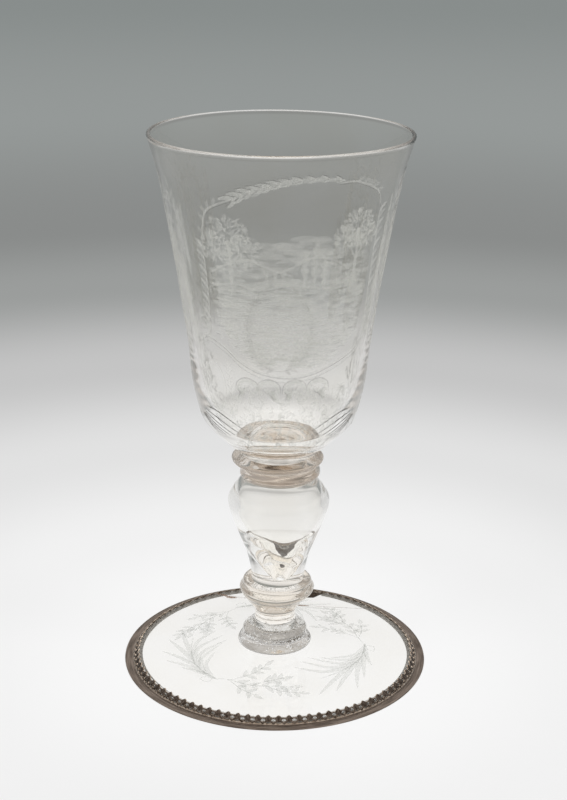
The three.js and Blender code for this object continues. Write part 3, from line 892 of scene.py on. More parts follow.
class GOBLET_OT_bowl(Operator):
    """Blows the bowl: a flared bucket with a thick floor and a fire-rounded lip"""
    bl_idname = "goblet.bowl"
    bl_label = "Bowl"

    def execute(self, context):
        sizes = context.scene.goblet_bowl
        colours = context.scene.goblet_colours
        place = Place("bowl")
        wall = bowl_wall(sizes, place)
        outside = bowl_outside(sizes, place)
        lip_radius = sizes.rim_wall / 2
        lip = arc((place.radius - lip_radius, place.height - lip_radius), lip_radius, 0, 180)
        inner_shoulder = sizes.shoulder_radius - sizes.shoulder_wall
        floor_rise = sizes.shoulder_height - sizes.floor_thickness
        floor_edge = sizes.floor_radius + 0.4 * (inner_shoulder - sizes.floor_radius)
        inside_wall = [(radius - self.thickness(sizes, place, height), height) for radius, height in wall[2:]]
        inside = smooth([
            *reversed(inside_wall),
            (wall[1][0] - 1.25 * sizes.shoulder_wall, wall[1][1]),
            (inner_shoulder - 0.9 * sizes.shoulder_wall, sizes.shoulder_height),
            (0.8 * inner_shoulder, sizes.floor_thickness + 0.5 * floor_rise),
            (floor_edge, sizes.floor_thickness + 0.17 * floor_rise),
            (sizes.floor_radius, sizes.floor_thickness + 0.02 * floor_rise),
            (0.5 * sizes.floor_radius, sizes.floor_thickness),
            (0.0, sizes.floor_thickness),
        ])
        outline = [Vector((0.0, 0.0)), *outside, *lip, *inside]
        mesh = turned(raised(outline, place.low), BOWL_STEPS)
        for corner in mesh.verts:
            angle = math.atan2(corner.co.y, corner.co.x)
            top = ease((corner.co.z - place.high + WAVER_HEIGHT) / WAVER_HEIGHT)
            corner.co.xy *= 1 + top * (0.0016 * math.sin(3 * angle + 0.8) + 0.001 * math.sin(7 * angle))
            corner.co.z -= top * LIP_DIP * (1 + math.sin(2 * angle + 0.4))
        fuse(mesh, place.low)
        crease(mesh)
        lean_to_joints(mesh, "bowl", context.scene.goblet_stem.joint_ease)
        glass = blown_glass("clear_blown_glass", colours.glass, 0.10 * MM, 22 * MM)
        new_piece(context, "glass_bowl", mesh, [glass, fused_joint()], ["bowl"])
        return {"FINISHED"}

    @staticmethod
    def thickness(sizes, place, height):
        """The glass grows thinner from the shoulder up to the lip."""
        share = (height - sizes.shoulder_height) / (place.height - sizes.shoulder_height)
        return sizes.shoulder_wall + (sizes.rim_wall - sizes.shoulder_wall) * math.sqrt(min(max(share, 0), 1))


class GOBLET_OT_stem(Operator):
    """Turns the stem's gathers: the disc and ring under the bowl, the baluster, the collars and the knop"""
    bl_idname = "goblet.stem"
    bl_label = "Stem"

    def execute(self, context):
        sizes = context.scene.goblet_stem
        seat = context.scene.goblet_bowl.seat_radius
        colours = context.scene.goblet_colours
        beige = blown_glass("beige_disc_glass", colours.disc_glass, 0.10 * MM, 9 * MM, roughness=0.06)
        ring = blown_glass("beige_ring_glass", colours.ring_glass, 0.10 * MM, 9 * MM, roughness=0.06)
        tooled = blown_glass("faintly_beige_tooled_glass", colours.collar_glass, 0.08 * MM, 12 * MM)
        seedy = blown_glass("seedy_knop_glass", colours.knop_glass, 0.07 * MM, 2.2 * MM, 1.1 * MM, 0.02)
        pale_seedy = blown_glass("seedy_base_glass", colours.base_glass, 0.09 * MM, 1.8 * MM, 1.1 * MM, 0.02)
        clear = blown_glass("clear_baluster_glass", colours.glass, 0.08 * MM, 14 * MM)
        joint = fused_joint()
        beige_joint = fused_beige_joint(colours.beige_joint, seat)
        glasses = {"bowl_merese": beige, "foot_knop": seedy, "base_ring": pale_seedy}
        sides = {
            "bowl_merese": self.bowl_merese(Place("bowl_merese"), sizes, seat),
            "lower_merese": self.lower_merese(Place("lower_merese"), sizes),
            "stem_neck": self.stem_neck(Place("stem_neck"), sizes),
            "foot_knop": self.foot_knop(Place("foot_knop"), sizes),
            "base_ring": self.base_ring(Place("base_ring"), sizes),
        }
        dice = random.Random(7)
        for node, side in sides.items():
            unevenness = SEEDY_UNEVENNESS if node in SEEDY else TOOLED_UNEVENNESS
            mesh = gather(node, side, sizes.joint_ease, unevenness)
            if node in SEEDY:
                add_seeds(mesh, side, Place(node).low, SEEDY[node], dice)
                crease(mesh)
            end = beige_joint if node == "bowl_merese" else joint
            new_piece(context, "glass_" + node, mesh, [glasses.get(node, tooled), end], [node])
        self.collar_ring(context, sizes, ring, joint)
        self.baluster(context, sizes, clear, joint)
        return {"FINISHED"}

    @staticmethod
    def bowl_merese(place, sizes, seat):
        """A thin-edged disc, wider than what it joins."""
        return smooth([
            (sizes.collar_joint_radius, 0.0),
            (place.radius - 1.1 * MM, 0.32 * place.height),
            (place.radius, 0.58 * place.height),
            (place.radius - 0.9 * MM, 0.84 * place.height),
            (seat, place.height),
        ])

    @staticmethod
    def lower_merese(place, sizes):
        """A rounded collar that stands out further than the baluster on it and the cup under it."""
        return smooth([
            (sizes.neck_cup_radius, 0.0),
            (place.radius - 0.7 * MM, 0.22 * place.height),
            (place.radius, 0.46 * place.height),
            (place.radius - 1.3 * MM, 0.76 * place.height),
            (sizes.baluster_foot_radius + 3.2 * MM, 0.94 * place.height),
            (sizes.baluster_foot_radius, place.height),
        ])

    @staticmethod
    def stem_neck(place, sizes):
        """A cup that tapers down into a neck."""
        taper = sizes.neck_cup_radius - sizes.neck_radius
        return smooth([
            (sizes.neck_radius + 0.2 * MM, 0.0),
            (sizes.neck_radius, 0.2 * place.height),
            (sizes.neck_radius + 0.12 * taper, 0.44 * place.height),
            (sizes.neck_radius + 0.5 * taper, 0.7 * place.height),
            (sizes.neck_cup_radius, place.height),
        ])

    @staticmethod
    def foot_knop(place, sizes):
        """A cone with a rounded lower edge."""
        spread = place.radius - sizes.neck_radius
        return smooth([
            (sizes.knop_joint_radius, 0.0),
            (place.radius, 0.14 * place.height),
            (sizes.neck_radius + 0.56 * spread, 0.5 * place.height),
            (sizes.neck_radius + 0.17 * spread, 0.84 * place.height),
            (sizes.neck_radius + 0.2 * MM, place.height),
        ])

    @staticmethod
    def base_ring(place, sizes):
        """A ring that spreads from the knop to the foot."""
        return smooth([
            (sizes.foot_joint_radius, 0.0),
            (place.radius, 0.12 * place.height),
            (place.radius - 0.9 * MM, 0.36 * place.height),
            (sizes.knop_joint_radius + 0.5 * MM, 0.66 * place.height),
            (sizes.knop_joint_radius, place.height),
        ])

    @staticmethod
    def collar_ring(context, sizes, glass, joint):
        """A rounded ring. It is fused to the baluster's wall, and closes the air hollow with bare glass."""
        place = Place("collar_ring")
        side = smooth([
            (sizes.baluster_seat_radius, 0.0),
            (place.radius, 0.25 * place.height),
            (place.radius, 0.6 * place.height),
            (sizes.collar_joint_radius, place.height),
        ])
        mouth = [Vector((0.0, 0.0)), Vector((sizes.hollow_mouth_radius, 0.0))]
        outline = [*mouth, *side, Vector((0.0, place.height))]
        mesh = turned(raised(outline, place.low), STEM_STEPS)
        join_up(mesh, "collar_ring", sizes.joint_ease, mouth=sizes.hollow_mouth_radius)
        new_piece(context, "glass_collar_ring", mesh, [glass, joint], ["collar_ring"])

    @staticmethod
    def baluster(context, sizes, glass, joint):
        """An inverted baluster with a blown air hollow, V-shaped at its lower end."""
        place = Place("baluster")
        foot = sizes.baluster_foot_radius
        taper = place.radius - foot
        outside = smooth([
            (foot, 0.0),
            (foot + 0.05 * taper, 0.1 * place.height),
            (foot + 0.22 * taper, 0.26 * place.height),
            (foot + 0.55 * taper, 0.45 * place.height),
            (foot + 0.86 * taper, 0.63 * place.height),
            (place.radius, 0.78 * place.height),
            (place.radius - 0.22 * taper, 0.88 * place.height),
            (sizes.baluster_seat_radius + 0.11 * taper, 0.955 * place.height),
            (sizes.baluster_seat_radius, place.height),
        ])
        end = sizes.hollow_end_height
        depth = place.height - end
        widest = place.radius - sizes.baluster_wall
        inside = smooth([
            (sizes.hollow_mouth_radius, place.height),
            (0.85 * widest, end + 0.89 * depth),
            (0.99 * widest, end + 0.755 * depth),
            (0.9 * widest, end + 0.59 * depth),
            (0.69 * widest, end + 0.43 * depth),
            (0.51 * widest, end + 0.305 * depth),
            (0.31 * widest, end + 0.16 * depth),
            (0.13 * widest, end + 0.03 * depth),
            (0.0, end),
        ])
        mesh = turned(raised([Vector((0.0, 0.0)), *outside, *inside], place.low), STEM_STEPS)
        for corner in mesh.verts:
            up = corner.co.z - place.low
            wall = between(outside, up, 1, 0)
            in_hollow = corner.co.xy.length < wall - sizes.baluster_wall / 2
            if in_hollow and end - TOUCHING < up < place.height - TOUCHING:
                uneven = math.sin(math.pi * (up - end) / depth)
                angle = math.atan2(corner.co.y, corner.co.x)
                swell = 0.03 * math.cos(2 * angle + 0.9) + 0.02 * math.cos(3 * angle - 0.6)
                corner.co.xy *= 1 + uneven * swell
                corner.co.x += sizes.hollow_lean * (1 - ease((up - end) / (0.6 * depth)))
        join_up(mesh, "baluster", sizes.joint_ease)
        new_piece(context, "glass_baluster", mesh, [glass, joint], ["baluster"])


class GOBLET_OT_foot(Operator):
    """Makes the foot's disc, cuts it along the break and sets the broken piece beside it"""
    bl_idname = "goblet.foot"
    bl_label = "Foot"

    def execute(self, context):
        sizes = context.scene.goblet_foot
        glass = blown_glass("clear_foot_glass", context.scene.goblet_colours.glass, 0.04 * MM, 18 * MM)
        materials = [glass, fused_joint()]
        beyond = cutter_over(self.beyond_break(sizes, 0.0))
        plate = cut(context, self.whole(context), beyond, "DIFFERENCE")
        self.glue_crack(plate, sizes, False)
        crease(plate)
        new_piece(context, "glass_foot_plate", plate, materials, ["foot_plate"])
        broken_off = cutter_over(self.beyond_break(sizes, sizes.crack_gap))
        fragment = cut(context, self.whole(context), broken_off, "INTERSECT")
        fragment = cut(context, fragment, cutter_over(self.chip(sizes)), "DIFFERENCE")
        self.glue_crack(fragment, sizes, True)
        crease(fragment)
        new_piece(context, "glass_foot_fragment", fragment, materials, ["foot_fragment"])
        return {"FINISHED"}

    @staticmethod
    def whole(context):
        """The foot before it broke: hollow below round a ground pontil mark, domed on top."""
        sizes = context.scene.goblet_foot
        joint = context.scene.goblet_stem.foot_joint_radius
        place = Place("foot_plate")
        radius = foot_radius()
        rounding = sizes.edge_thickness / 2
        centre = place.height - sizes.centre_thickness
        underside = [
            (0.0, centre + sizes.pontil_depth),
            (0.6 * sizes.pontil_radius, centre + 0.7 * sizes.pontil_depth),
            (sizes.pontil_radius, centre),
            ((radius - sizes.ledge_inset) / 2, centre / 2),
            (radius - sizes.ledge_inset, 0.0),
        ]
        edge = arc((radius - rounding, rounding), rounding, -90, 90)
        top = foot_top(sizes, joint, place)
        middle = [(joint, place.height), (0.0, place.height)]
        mesh = turned(raised([*underside, *edge, *top, *middle], place.low), FOOT_STEPS)
        fuse(mesh, place.high, outer=joint)
        shift = joint_axis("base_ring", "foot_plate")
        for corner in mesh.verts:
            if corner.co.z > place.high - TOUCHING and corner.co.xy.length < joint + TOUCHING:
                corner.co.x += shift
        return mesh

    @staticmethod
    def glue_crack(mesh, sizes, front_only):
        """The glue in the crack is as clear as the glass, so nothing is seen of the broken faces. On the
        fragment these are the ones that face the front."""
        inside = foot_radius() - sizes.edge_thickness
        for face in mesh.faces:
            centre = face.calc_center_median()
            upright = abs(face.normal.z) < 0.02
            if upright and centre.xy.length < foot_radius() - 0.05 * MM and centre.y > 0.5 * inside:
                if face.normal.y < -0.1 or not front_only:
                    face.material_index = 1

    @staticmethod
    def beyond_break(sizes, shift):
        """Plan of all that lies beyond the break, moved outward by the shift."""
        radius = foot_radius()
        outside = radius + sizes.chip_depth
        straight = radius - sizes.break_depth + shift
        step = radius - sizes.break_step_depth + shift
        return [
            (outside, straight),
            (outside, outside),
            (-outside, outside),
            (-outside, step + sizes.break_step_depth),
            (2 * sizes.break_step_left, step + 0.45 * sizes.break_step_depth),
            (sizes.break_step_left, step),
            (sizes.break_step_right, straight + 0.1 * sizes.break_step_depth),
            (2 * sizes.break_step_right, straight),
        ]

    @staticmethod
    def chip(sizes):
        """Plan of the chip missing from the fragment's edge, from right to left."""
        radius = foot_radius()
        half = sizes.chip_width / 2
        outside = radius + sizes.edge_thickness
        return [
            (sizes.chip_centre + half, outside),
            (sizes.chip_centre + 0.89 * half, radius - 0.52 * sizes.chip_depth),
            (sizes.chip_centre + 0.6 * half, radius - 0.96 * sizes.chip_depth),
            (sizes.chip_centre - 0.34 * half, radius - sizes.chip_depth),
            (sizes.chip_centre - 0.8 * half, radius - 0.6 * sizes.chip_depth),
            (sizes.chip_centre - half, outside),
        ]


class GOBLET_OT_bowl_engraving(Operator):
    """Engraves the bowl: a landscape in a leafy frame at the front, and borders of leaves, lenses and fans"""
    bl_idname = "goblet.bowl_engraving"
    bl_label = "Bowl engraving"

    def execute(self, context):
        # The first two are matt cuts, deep and light. The last two are lines of painted shade, grey and dark,
        # where the steep sides of deep cuts look dark.
        materials = [
            ground_glass_and_painted_shade("deeply_ground_glass", "f0f0ea", 0.2),
            ground_glass_and_painted_shade("lightly_ground_glass", "f0f0ea", 0.1),
            ground_glass_and_painted_shade("steep_cuts_painted_shade", "7c7c79", 0.17),
            ground_glass_and_painted_shade("dark_cuts_painted_shade", "5a564f", 0.6),
        ]
        engraving = Engraving(on_bowl(context), 11)
        pieces = (
            ("engraved_frame", (self.garland, self.scroll_frame, self.arches)),
            ("engraved_landscape", (self.landscape, self.shading)),
            ("engraved_border", (self.base_border,)),
            ("engraved_side_bands", (self.side_bands,)),
        )
        for name, makers in pieces:
            for make in makers:
                make(engraving)
            engraving.finish(context, name, materials)
        return {"FINISHED"}

    @staticmethod
    def garland(engraving):
        """The frame's upper half: a band of jagged acanthus between two thin bare stalks."""
        stalk = [(-32, 200), (-31.3, 204), (-29.3, 212.5), (-27, 216.2), (-22.3, 219), (-16, 221.8)]
        band = [(-17, 221), (-12, 224), (-6.1, 226.4), (0, 228.6), (6.2, 229.9), (14, 230.3), (22, 229.3)]
        tail = [(20, 228.4), (26, 228.4), (30.5, 226.8), (33.7, 225.4), (38.6, 222), (41.5, 216)]
        engraving.cut_with_painted_shade(stalk, 0.9)
        engraving.cut(band, 2.4, blunt=0.45)
        engraving.cut_with_painted_shade(tail, 0.9)
        line = smooth(band, LINE_STEPS)
        for number in range(GARLAND_PAIRS):
            share = (number + 0.6) / GARLAND_PAIRS
            place, direction = along(line, share)
            size = 6.6 - 3.6 * share
            engraving.leaf(place, turned_by(direction, 156), size, 0.3 * size, -0.1, shade_line=True)
            engraving.leaf(place, turned_by(direction, -158), 0.8 * size, 0.26 * size, 0.1, shade_line=True)
        for points, count in ((stalk, 5), (tail, 6)):
            line = smooth(points, LINE_STEPS)
            for number in range(count):
                place, direction = along(line, 0.25 + 0.6 * number / count)
                engraving.leaf(place, turned_by(direction, 50), 3.4, 1.5, 0.1, SHALLOW)

    @staticmethod
    def scroll_frame(engraving):
        """The frame's sides and its lower edge: a double line in long curves that end in scrolls."""
        lower_edge = [
            (-41, 158), (-36, 161), (-31, 160), (-25, 157.2), (-19, 152.8), (-11, 149), (-2, 147),
            (8, 146.6), (17, 148), (25, 150.4), (33, 153), (40, 155.8), (46, 161),
        ]
        for drop, width in ((0.0, 1.1), (2.2, 0.6)):
            engraving.cut_with_painted_shade([(across, height - drop) for across, height in lower_edge], width)
        for side, foot, top in ((-1, (-34, 161), (-32, 200)), (1, (45, 161), (41.5, 214))):
            upright = [foot, (foot[0] - side * 2.0, (foot[1] + top[1]) / 2), top]
            engraving.cut(upright, 0.8, blunt=0.2)
            line = smooth(upright, 2 * LINE_STEPS)
            for number in range(FRAME_LEAVES):
                place, direction = along(line, (number + 0.5) / FRAME_LEAVES)
                heading = turned_by(direction, -side * 48)
                depth = DEEP if number % 2 else SHALLOW
                engraving.leaf(place, heading, 5.4, 1.8, 0.12 * side, depth, shade_line=True)
        engraving.scroll((-37, 166), 5.0, 1, -110, 1.2, 5.0, 6)
        engraving.scroll((49, 166), 5.0, -1, -70, 1.2, 5.0, 6)

    @staticmethod
    def arches(engraving):
        """Four hooked arches under the frame, every other one mirrored, each with a line of painted shade
        along its upper edge and leaves hanging from it.
        """
        arch = (
            (-5.2, 139.0), (-4.2, 142.2), (-0.5, 144.0), (3.4, 142.8), (4.6, 140.0), (2.6, 138.4),
            (0.8, 139.6),
        )
        painted_shade_edge = ((-6.2, 138.6), (-5.2, 143.0), (-0.6, 145.2), (4.3, 143.6), (5.6, 140.4))
        for across, side in ((-15, 1), (-5, -1), (8, 1), (19, -1)):
            placed = [(across + side * x, height) for x, height in arch]
            for width in (2.4, 1.2):
                engraving.cut(placed, width, blunt=0.5, heel=0.8)
            # A thin line of painted shade along the arch's upper edge
            edge = [(across + side * x, height) for x, height in painted_shade_edge]
            engraving.cut(edge, 0.6, blunt=0.4, depth=PAINTED_SHADE)
            for x, lean in ((-4.8, 150), (-4.2, 176), (-2.6, 198), (-0.4, 222), (2.0, 240)):
                base = Vector((across + side * x, 141.4 + 0.2 * x))
                engraving.leaf(base, leaning(-side * lean), 5.2, 2.0, 0.18 * side, shade_line=True)

    @staticmethod
    def landscape(engraving):
        """A plain landscape of no real place: hills, two broad trees, three poplars, a footbridge over a
        stream, and reeds."""
        dice = engraving.dice
        crests = (
            [(-30, 189), (-21, 194), (-12, 196.5), (-3, 193), (5, 190.5)],
            [(-5, 190.5), (4, 193.5), (13, 198), (22, 196), (30, 191), (38, 189)],
            [(-31, 183), (-19, 186), (-8, 184.2), (5, 186.5), (18, 184.5), (29, 186.5), (40, 184.5)],
        )
        for crest in crests:
            engraving.cut_with_painted_shade(crest, 0.95)
            line = smooth(crest, LINE_STEPS)
            strokes = 20
            for number in range(strokes):
                place, _ = along(line, (number + dice.random()) / strokes)
                fall = Vector((dice.uniform(-1.2, 1.2), -dice.uniform(2.0, 5.0)))
                engraving.cut([place, place + 0.5 * fall, place + fall], 1.1, depth=SHALLOW)
        for foot, height, spread in (((-20, 180), 33, 11.0), ((31, 181), 36, 9.0)):
            foot = Vector(foot)
            crown = foot + Vector((0.0, 0.78 * height))
            engraving.cut([foot, foot + Vector((0.8, 0.35 * height)), crown], 1.6, heel=0.6)
            fork = foot + Vector((0.5, 0.4 * height))
            for side in (-1, 1):
                elbow = fork + Vector((side * 0.3 * spread, 4.5))
                engraving.cut([fork, elbow, fork + Vector((side * 0.7 * spread, 8.5))], 0.7)
                lower = crown + Vector((side * 0.55 * spread, -0.45 * spread))
                engraving.foliage(lower, 0.6 * spread, 0.5 * spread, 170, 1.5)
            engraving.foliage(crown, 0.8 * spread, 0.75 * spread, 330, 1.5)
        for across, height in ((10.0, 18), (14.0, 22), (18.0, 16)):
            foot = Vector((across, 182))
            engraving.cut([foot, foot + Vector((0, height / 2)), foot + Vector((0, height))], 0.5)
            leaves = 26
            for number in range(leaves):
                up = height * (0.12 + 0.86 * number / leaves)
                size = 2.6 * math.sin(math.pi * (0.15 + 0.75 * number / leaves)) + 0.6
                side = 1 if number % 2 else -1
                depth = DEEP if number % 3 == 0 else SHALLOW
                engraving.leaf(foot + Vector((0, up)), leaning(26 * side), size, 0.8, depth=depth)
        deck = ((-10, 170.5), (-5, 172.6), (0, 173), (5, 172.6), (10, 170.5))
        for drop in (0.0, 1.6):
            engraving.cut([(across, height - drop) for across, height in deck], 0.7)
        for post in range(7):
            across = -9 + 3 * post
            top = 174.8 - 0.025 * across * across
            engraving.cut([(across, top), (across, top - 1.6), (across, top - 3.2)], 0.5)
        for bank in (-1, 1):
            course = [
                (bank * 5, 170), (2 + bank * 4, 165), (5 + bank * 5, 160), (4 + bank * 8, 154),
                (6 + bank * 10, 149),
            ]
            engraving.cut(course, 0.8, blunt=0.3)
        for _ in range(34):
            root = Vector((dice.uniform(-28, 34), 0.0))
            root.y = 152 + 0.008 * (root.x - 4) ** 2 + dice.uniform(0, 13)
            for blade in (-26, 0, 24):
                lean = blade + dice.uniform(-8, 8)
                engraving.leaf(root, leaning(lean), dice.uniform(2.0, 3.8), 0.6)

    @staticmethod
    def shading(engraving):
        """Level strokes: many over the ground, short ones in the sky, and broad ones over all. Their field
        is narrower at its lower end, as the frame curves in there."""
        def left(height):
            return -31 + max(0.0, 163 - height) * 1.5

        def right(height):
            return 41 - max(0.0, 162 - height) * 1.6

        engraving.hatch(150, 188, left, right, 520, 1.1)
        engraving.hatch(151, 184, left, right, 190, 0.55, depth=DEEP, longest=7.0)
        # Thin dark strokes among them are painted shade
        engraving.hatch(152, 184, left, right, 60, 0.35, depth=PAINTED_SHADE, longest=6.0)
        engraving.hatch(186, 203, left, right, 150, 0.8, longest=5.0)
        engraving.hatch(152, 206, left, right, 150, 2.6, longest=16.0)

    @staticmethod
    def base_border(engraving):
        """Round the bowl below the frame: a cloud of leaf tufts, polished lenses and fans of long cuts. The
        fans are drawn as dark lines of painted shade, as are a few strokes across the tufts.
        """
        dice = engraving.dice
        for left, right, low, high in ((-25, 37, 113, 142), (58, 90, 117, 147), (-90, -60, 117, 147)):
            for row in range(round((high - low) / TUFT_PITCH)):
                for column in range(round((right - left) / TUFT_PITCH)):
                    across = column + 0.5 * (row % 2) + dice.uniform(-0.3, 0.3)
                    up = row + dice.uniform(-0.3, 0.3)
                    centre = Vector((left + across * TUFT_PITCH, low + up * TUFT_PITCH))
                    turn = dice.uniform(0, 360)
                    depth = dice.choice((DEEP, SHALLOW, SHALLOW))
                    for lean in (-66, -24, 20, 60):
                        heading = leaning(turn + lean)
                        size = dice.uniform(2.4, 4.0)
                        engraving.leaf(centre, heading, size, 0.4 * size, math.copysign(0.16, lean), depth)
                    # Now and then a thin dark stroke of painted shade across the tuft
                    if dice.random() < 0.12:
                        engraving.leaf(centre, leaning(turn), 3.2, 0.45, 0.2, PAINTED_SHADE)
        for across in (-33.0, 75.0, -76.0):
            engraving.oval((across, 138.5), 6.2, 11.0, 0.8)
            for width in (1.2, 2.6):
                engraving.cut([(across - 5, 133), (across, 128.6), (across + 5, 133)], width)
            for side in (-1, 1):
                stalk = [(across + side * 8, 124), (across + side * 9.5, 137), (across + side * 8, 149)]
                engraving.sprig(stalk, 3.4, 1.2, 8, depth=SHALLOW)
        engraving.sprig([(30, 141), (36, 137), (40, 131)], 3.4, 1.1, 5, depth=SHALLOW)
        # The fans' long cuts are drawn as dark lines of painted shade
        for side in (-1, 1):
            for blade in range(FAN_BLADES):
                share = blade / (FAN_BLADES - 1)
                above = (1 - share) ** 3
                start = (44 + 7 * share, 122.5 + 4.7 * above)
                middle = (33.5 + 12 * share, 119 + 7.5 * above)
                tip = (18.7 + 20 * share, 115.6 + 5.0 * above)
                points = [(side * across, height) for across, height in (start, middle, tip)]
                engraving.cut(points, 0.55, blunt=0.4, depth=DARK_PAINTED_SHADE)

    @staticmethod
    def side_bands(engraving):
        """Upright bands of fine long cuts beside the picture and at the back, each with two leafy stems, and
        a light wreath at the middle of the back."""
        dice = engraving.dice
        for centre in BAND_CENTRES:
            for _ in range(SIDE_CUTS):
                across = centre + dice.uniform(-12, 12)
                low = dice.uniform(149, 212)
                reach = min(dice.uniform(5, 14), 223 - low)
                sway = dice.uniform(-0.8, 0.8)
                points = [(across, low), (across + sway, low + reach / 2), (across, low + reach)]
                engraving.cut(points, dice.uniform(0.5, 1.0), depth=SHALLOW)
            for _ in range(SIDE_CUTS // 3):
                across = centre + dice.uniform(-13, 13)
                low = dice.uniform(146, 188)
                reach = dice.uniform(18, 34)
                sway = dice.uniform(-1, 1)
                points = [(across, low), (across + sway, low + reach / 2), (across, low + reach)]
                engraving.cut(points, dice.uniform(2.4, 4.2), depth=SHALLOW)
            for height in range(152, 218, 9):
                for lean in (-70, -36, 0, 36, 70):
                    base = Vector((centre, height))
                    size = 8.0 - 0.03 * abs(lean)
                    engraving.leaf(base, leaning(lean), size, 1.7, 0.002 * lean, SHALLOW)
            for offset in (-7.0, 7.0):
                bends = ((1.0, 150), (1.2, 168), (0.9, 186), (1.2, 204), (0.8, 221))
                points = [(centre + bend * offset, height) for bend, height in bends]
                engraving.sprig(points, 5.0, 1.6, 14, lean=40, depth=SHALLOW)
        back = math.pi * PLAN_RADIUS
        for side in (-1, 1):
            branch = []
            for step in range(9):
                angle = math.radians(-90 + side * (19.5 * step - 8))
                branch.append((back + 18 * math.cos(angle), 143 + 20 * math.sin(angle)))
            engraving.sprig(branch, 5.0, 1.8, 15, lean=34, depth=SHALLOW)


class GOBLET_OT_foot_engraving(Operator):
    """Engraves three sprays on the foot, each a plume of long blades tied to a leafy branch"""
    bl_idname = "goblet.foot_engraving"
    bl_label = "Foot engraving"

    def execute(self, context):
        engraving = Engraving(on_foot(context), 5)
        for degrees in SPRAY_DEGREES:
            self.spray(engraving, degrees)
        materials = [ground_glass_and_painted_shade("finely_ground_glass", "c6c8c2", 0.15)]
        engraving.finish(context, "foot_engraving", materials)
        return {"FINISHED"}

    @staticmethod
    def spray(engraving, degrees):
        """A grassy plume runs clockwise from the tie, and a leafy branch the other way."""
        def at(turn, radius):
            angle = math.radians(degrees + turn)
            return Vector((radius * math.cos(angle), radius * math.sin(angle)))

        stalk = [at(6, 41.5), at(-8, 41), at(-22, 40), at(-38, 38.5), at(-54, 38)]
        engraving.cut(stalk, 1.0, blunt=0.4, heel=0.7)
        line = smooth(stalk, 6)
        for number in range(PLUME_BLADES):
            share = number / (PLUME_BLADES - 1)
            outer = 43.5 + 7.5 * math.sin(math.pi * (0.1 + 0.75 * share))
            inner = 32 - 9 * math.sin(math.pi * (0.15 + 0.7 * share))
            for side, turn, radius in ((1, -20 - 44 * share, outer), (-1, -26 - 40 * share, inner)):
                root, direction = along(line, 0.04 + 0.5 * share + 0.04 * (side < 0))
                tip = at(turn + engraving.dice.uniform(-2, 2), radius + engraving.dice.uniform(-1.5, 1.5))
                middle = 0.3 * (root + tip) + 0.4 * (root + 0.66 * (tip - root).length * direction)
                engraving.cut([root, middle, tip], 2.2, blunt=0.7, heel=0.7)
        engraving.cut([at(2, 41), at(3, 45), at(-3, 45.5), at(-2, 42)], 0.6, blunt=0.3)
        branches = (
            ([at(2, 41.5), at(14, 39), at(27, 39.5), at(40, 39), at(54, 39.5)], 4),
            ([at(12, 39.5), at(20, 34.5), at(27, 30), at(34, 24.5)], 3),
            ([at(14, 39.5), at(23, 43), at(32, 46)], 2),
            ([at(30, 39), at(40, 35), at(49, 33.5)], 3),
            ([at(38, 39), at(47, 42.5), at(57, 44.5)], 3),
        )
        for points, count in branches:
            engraving.sprig(points, 5.2, 2.3, count, lean=46, start=0.34)


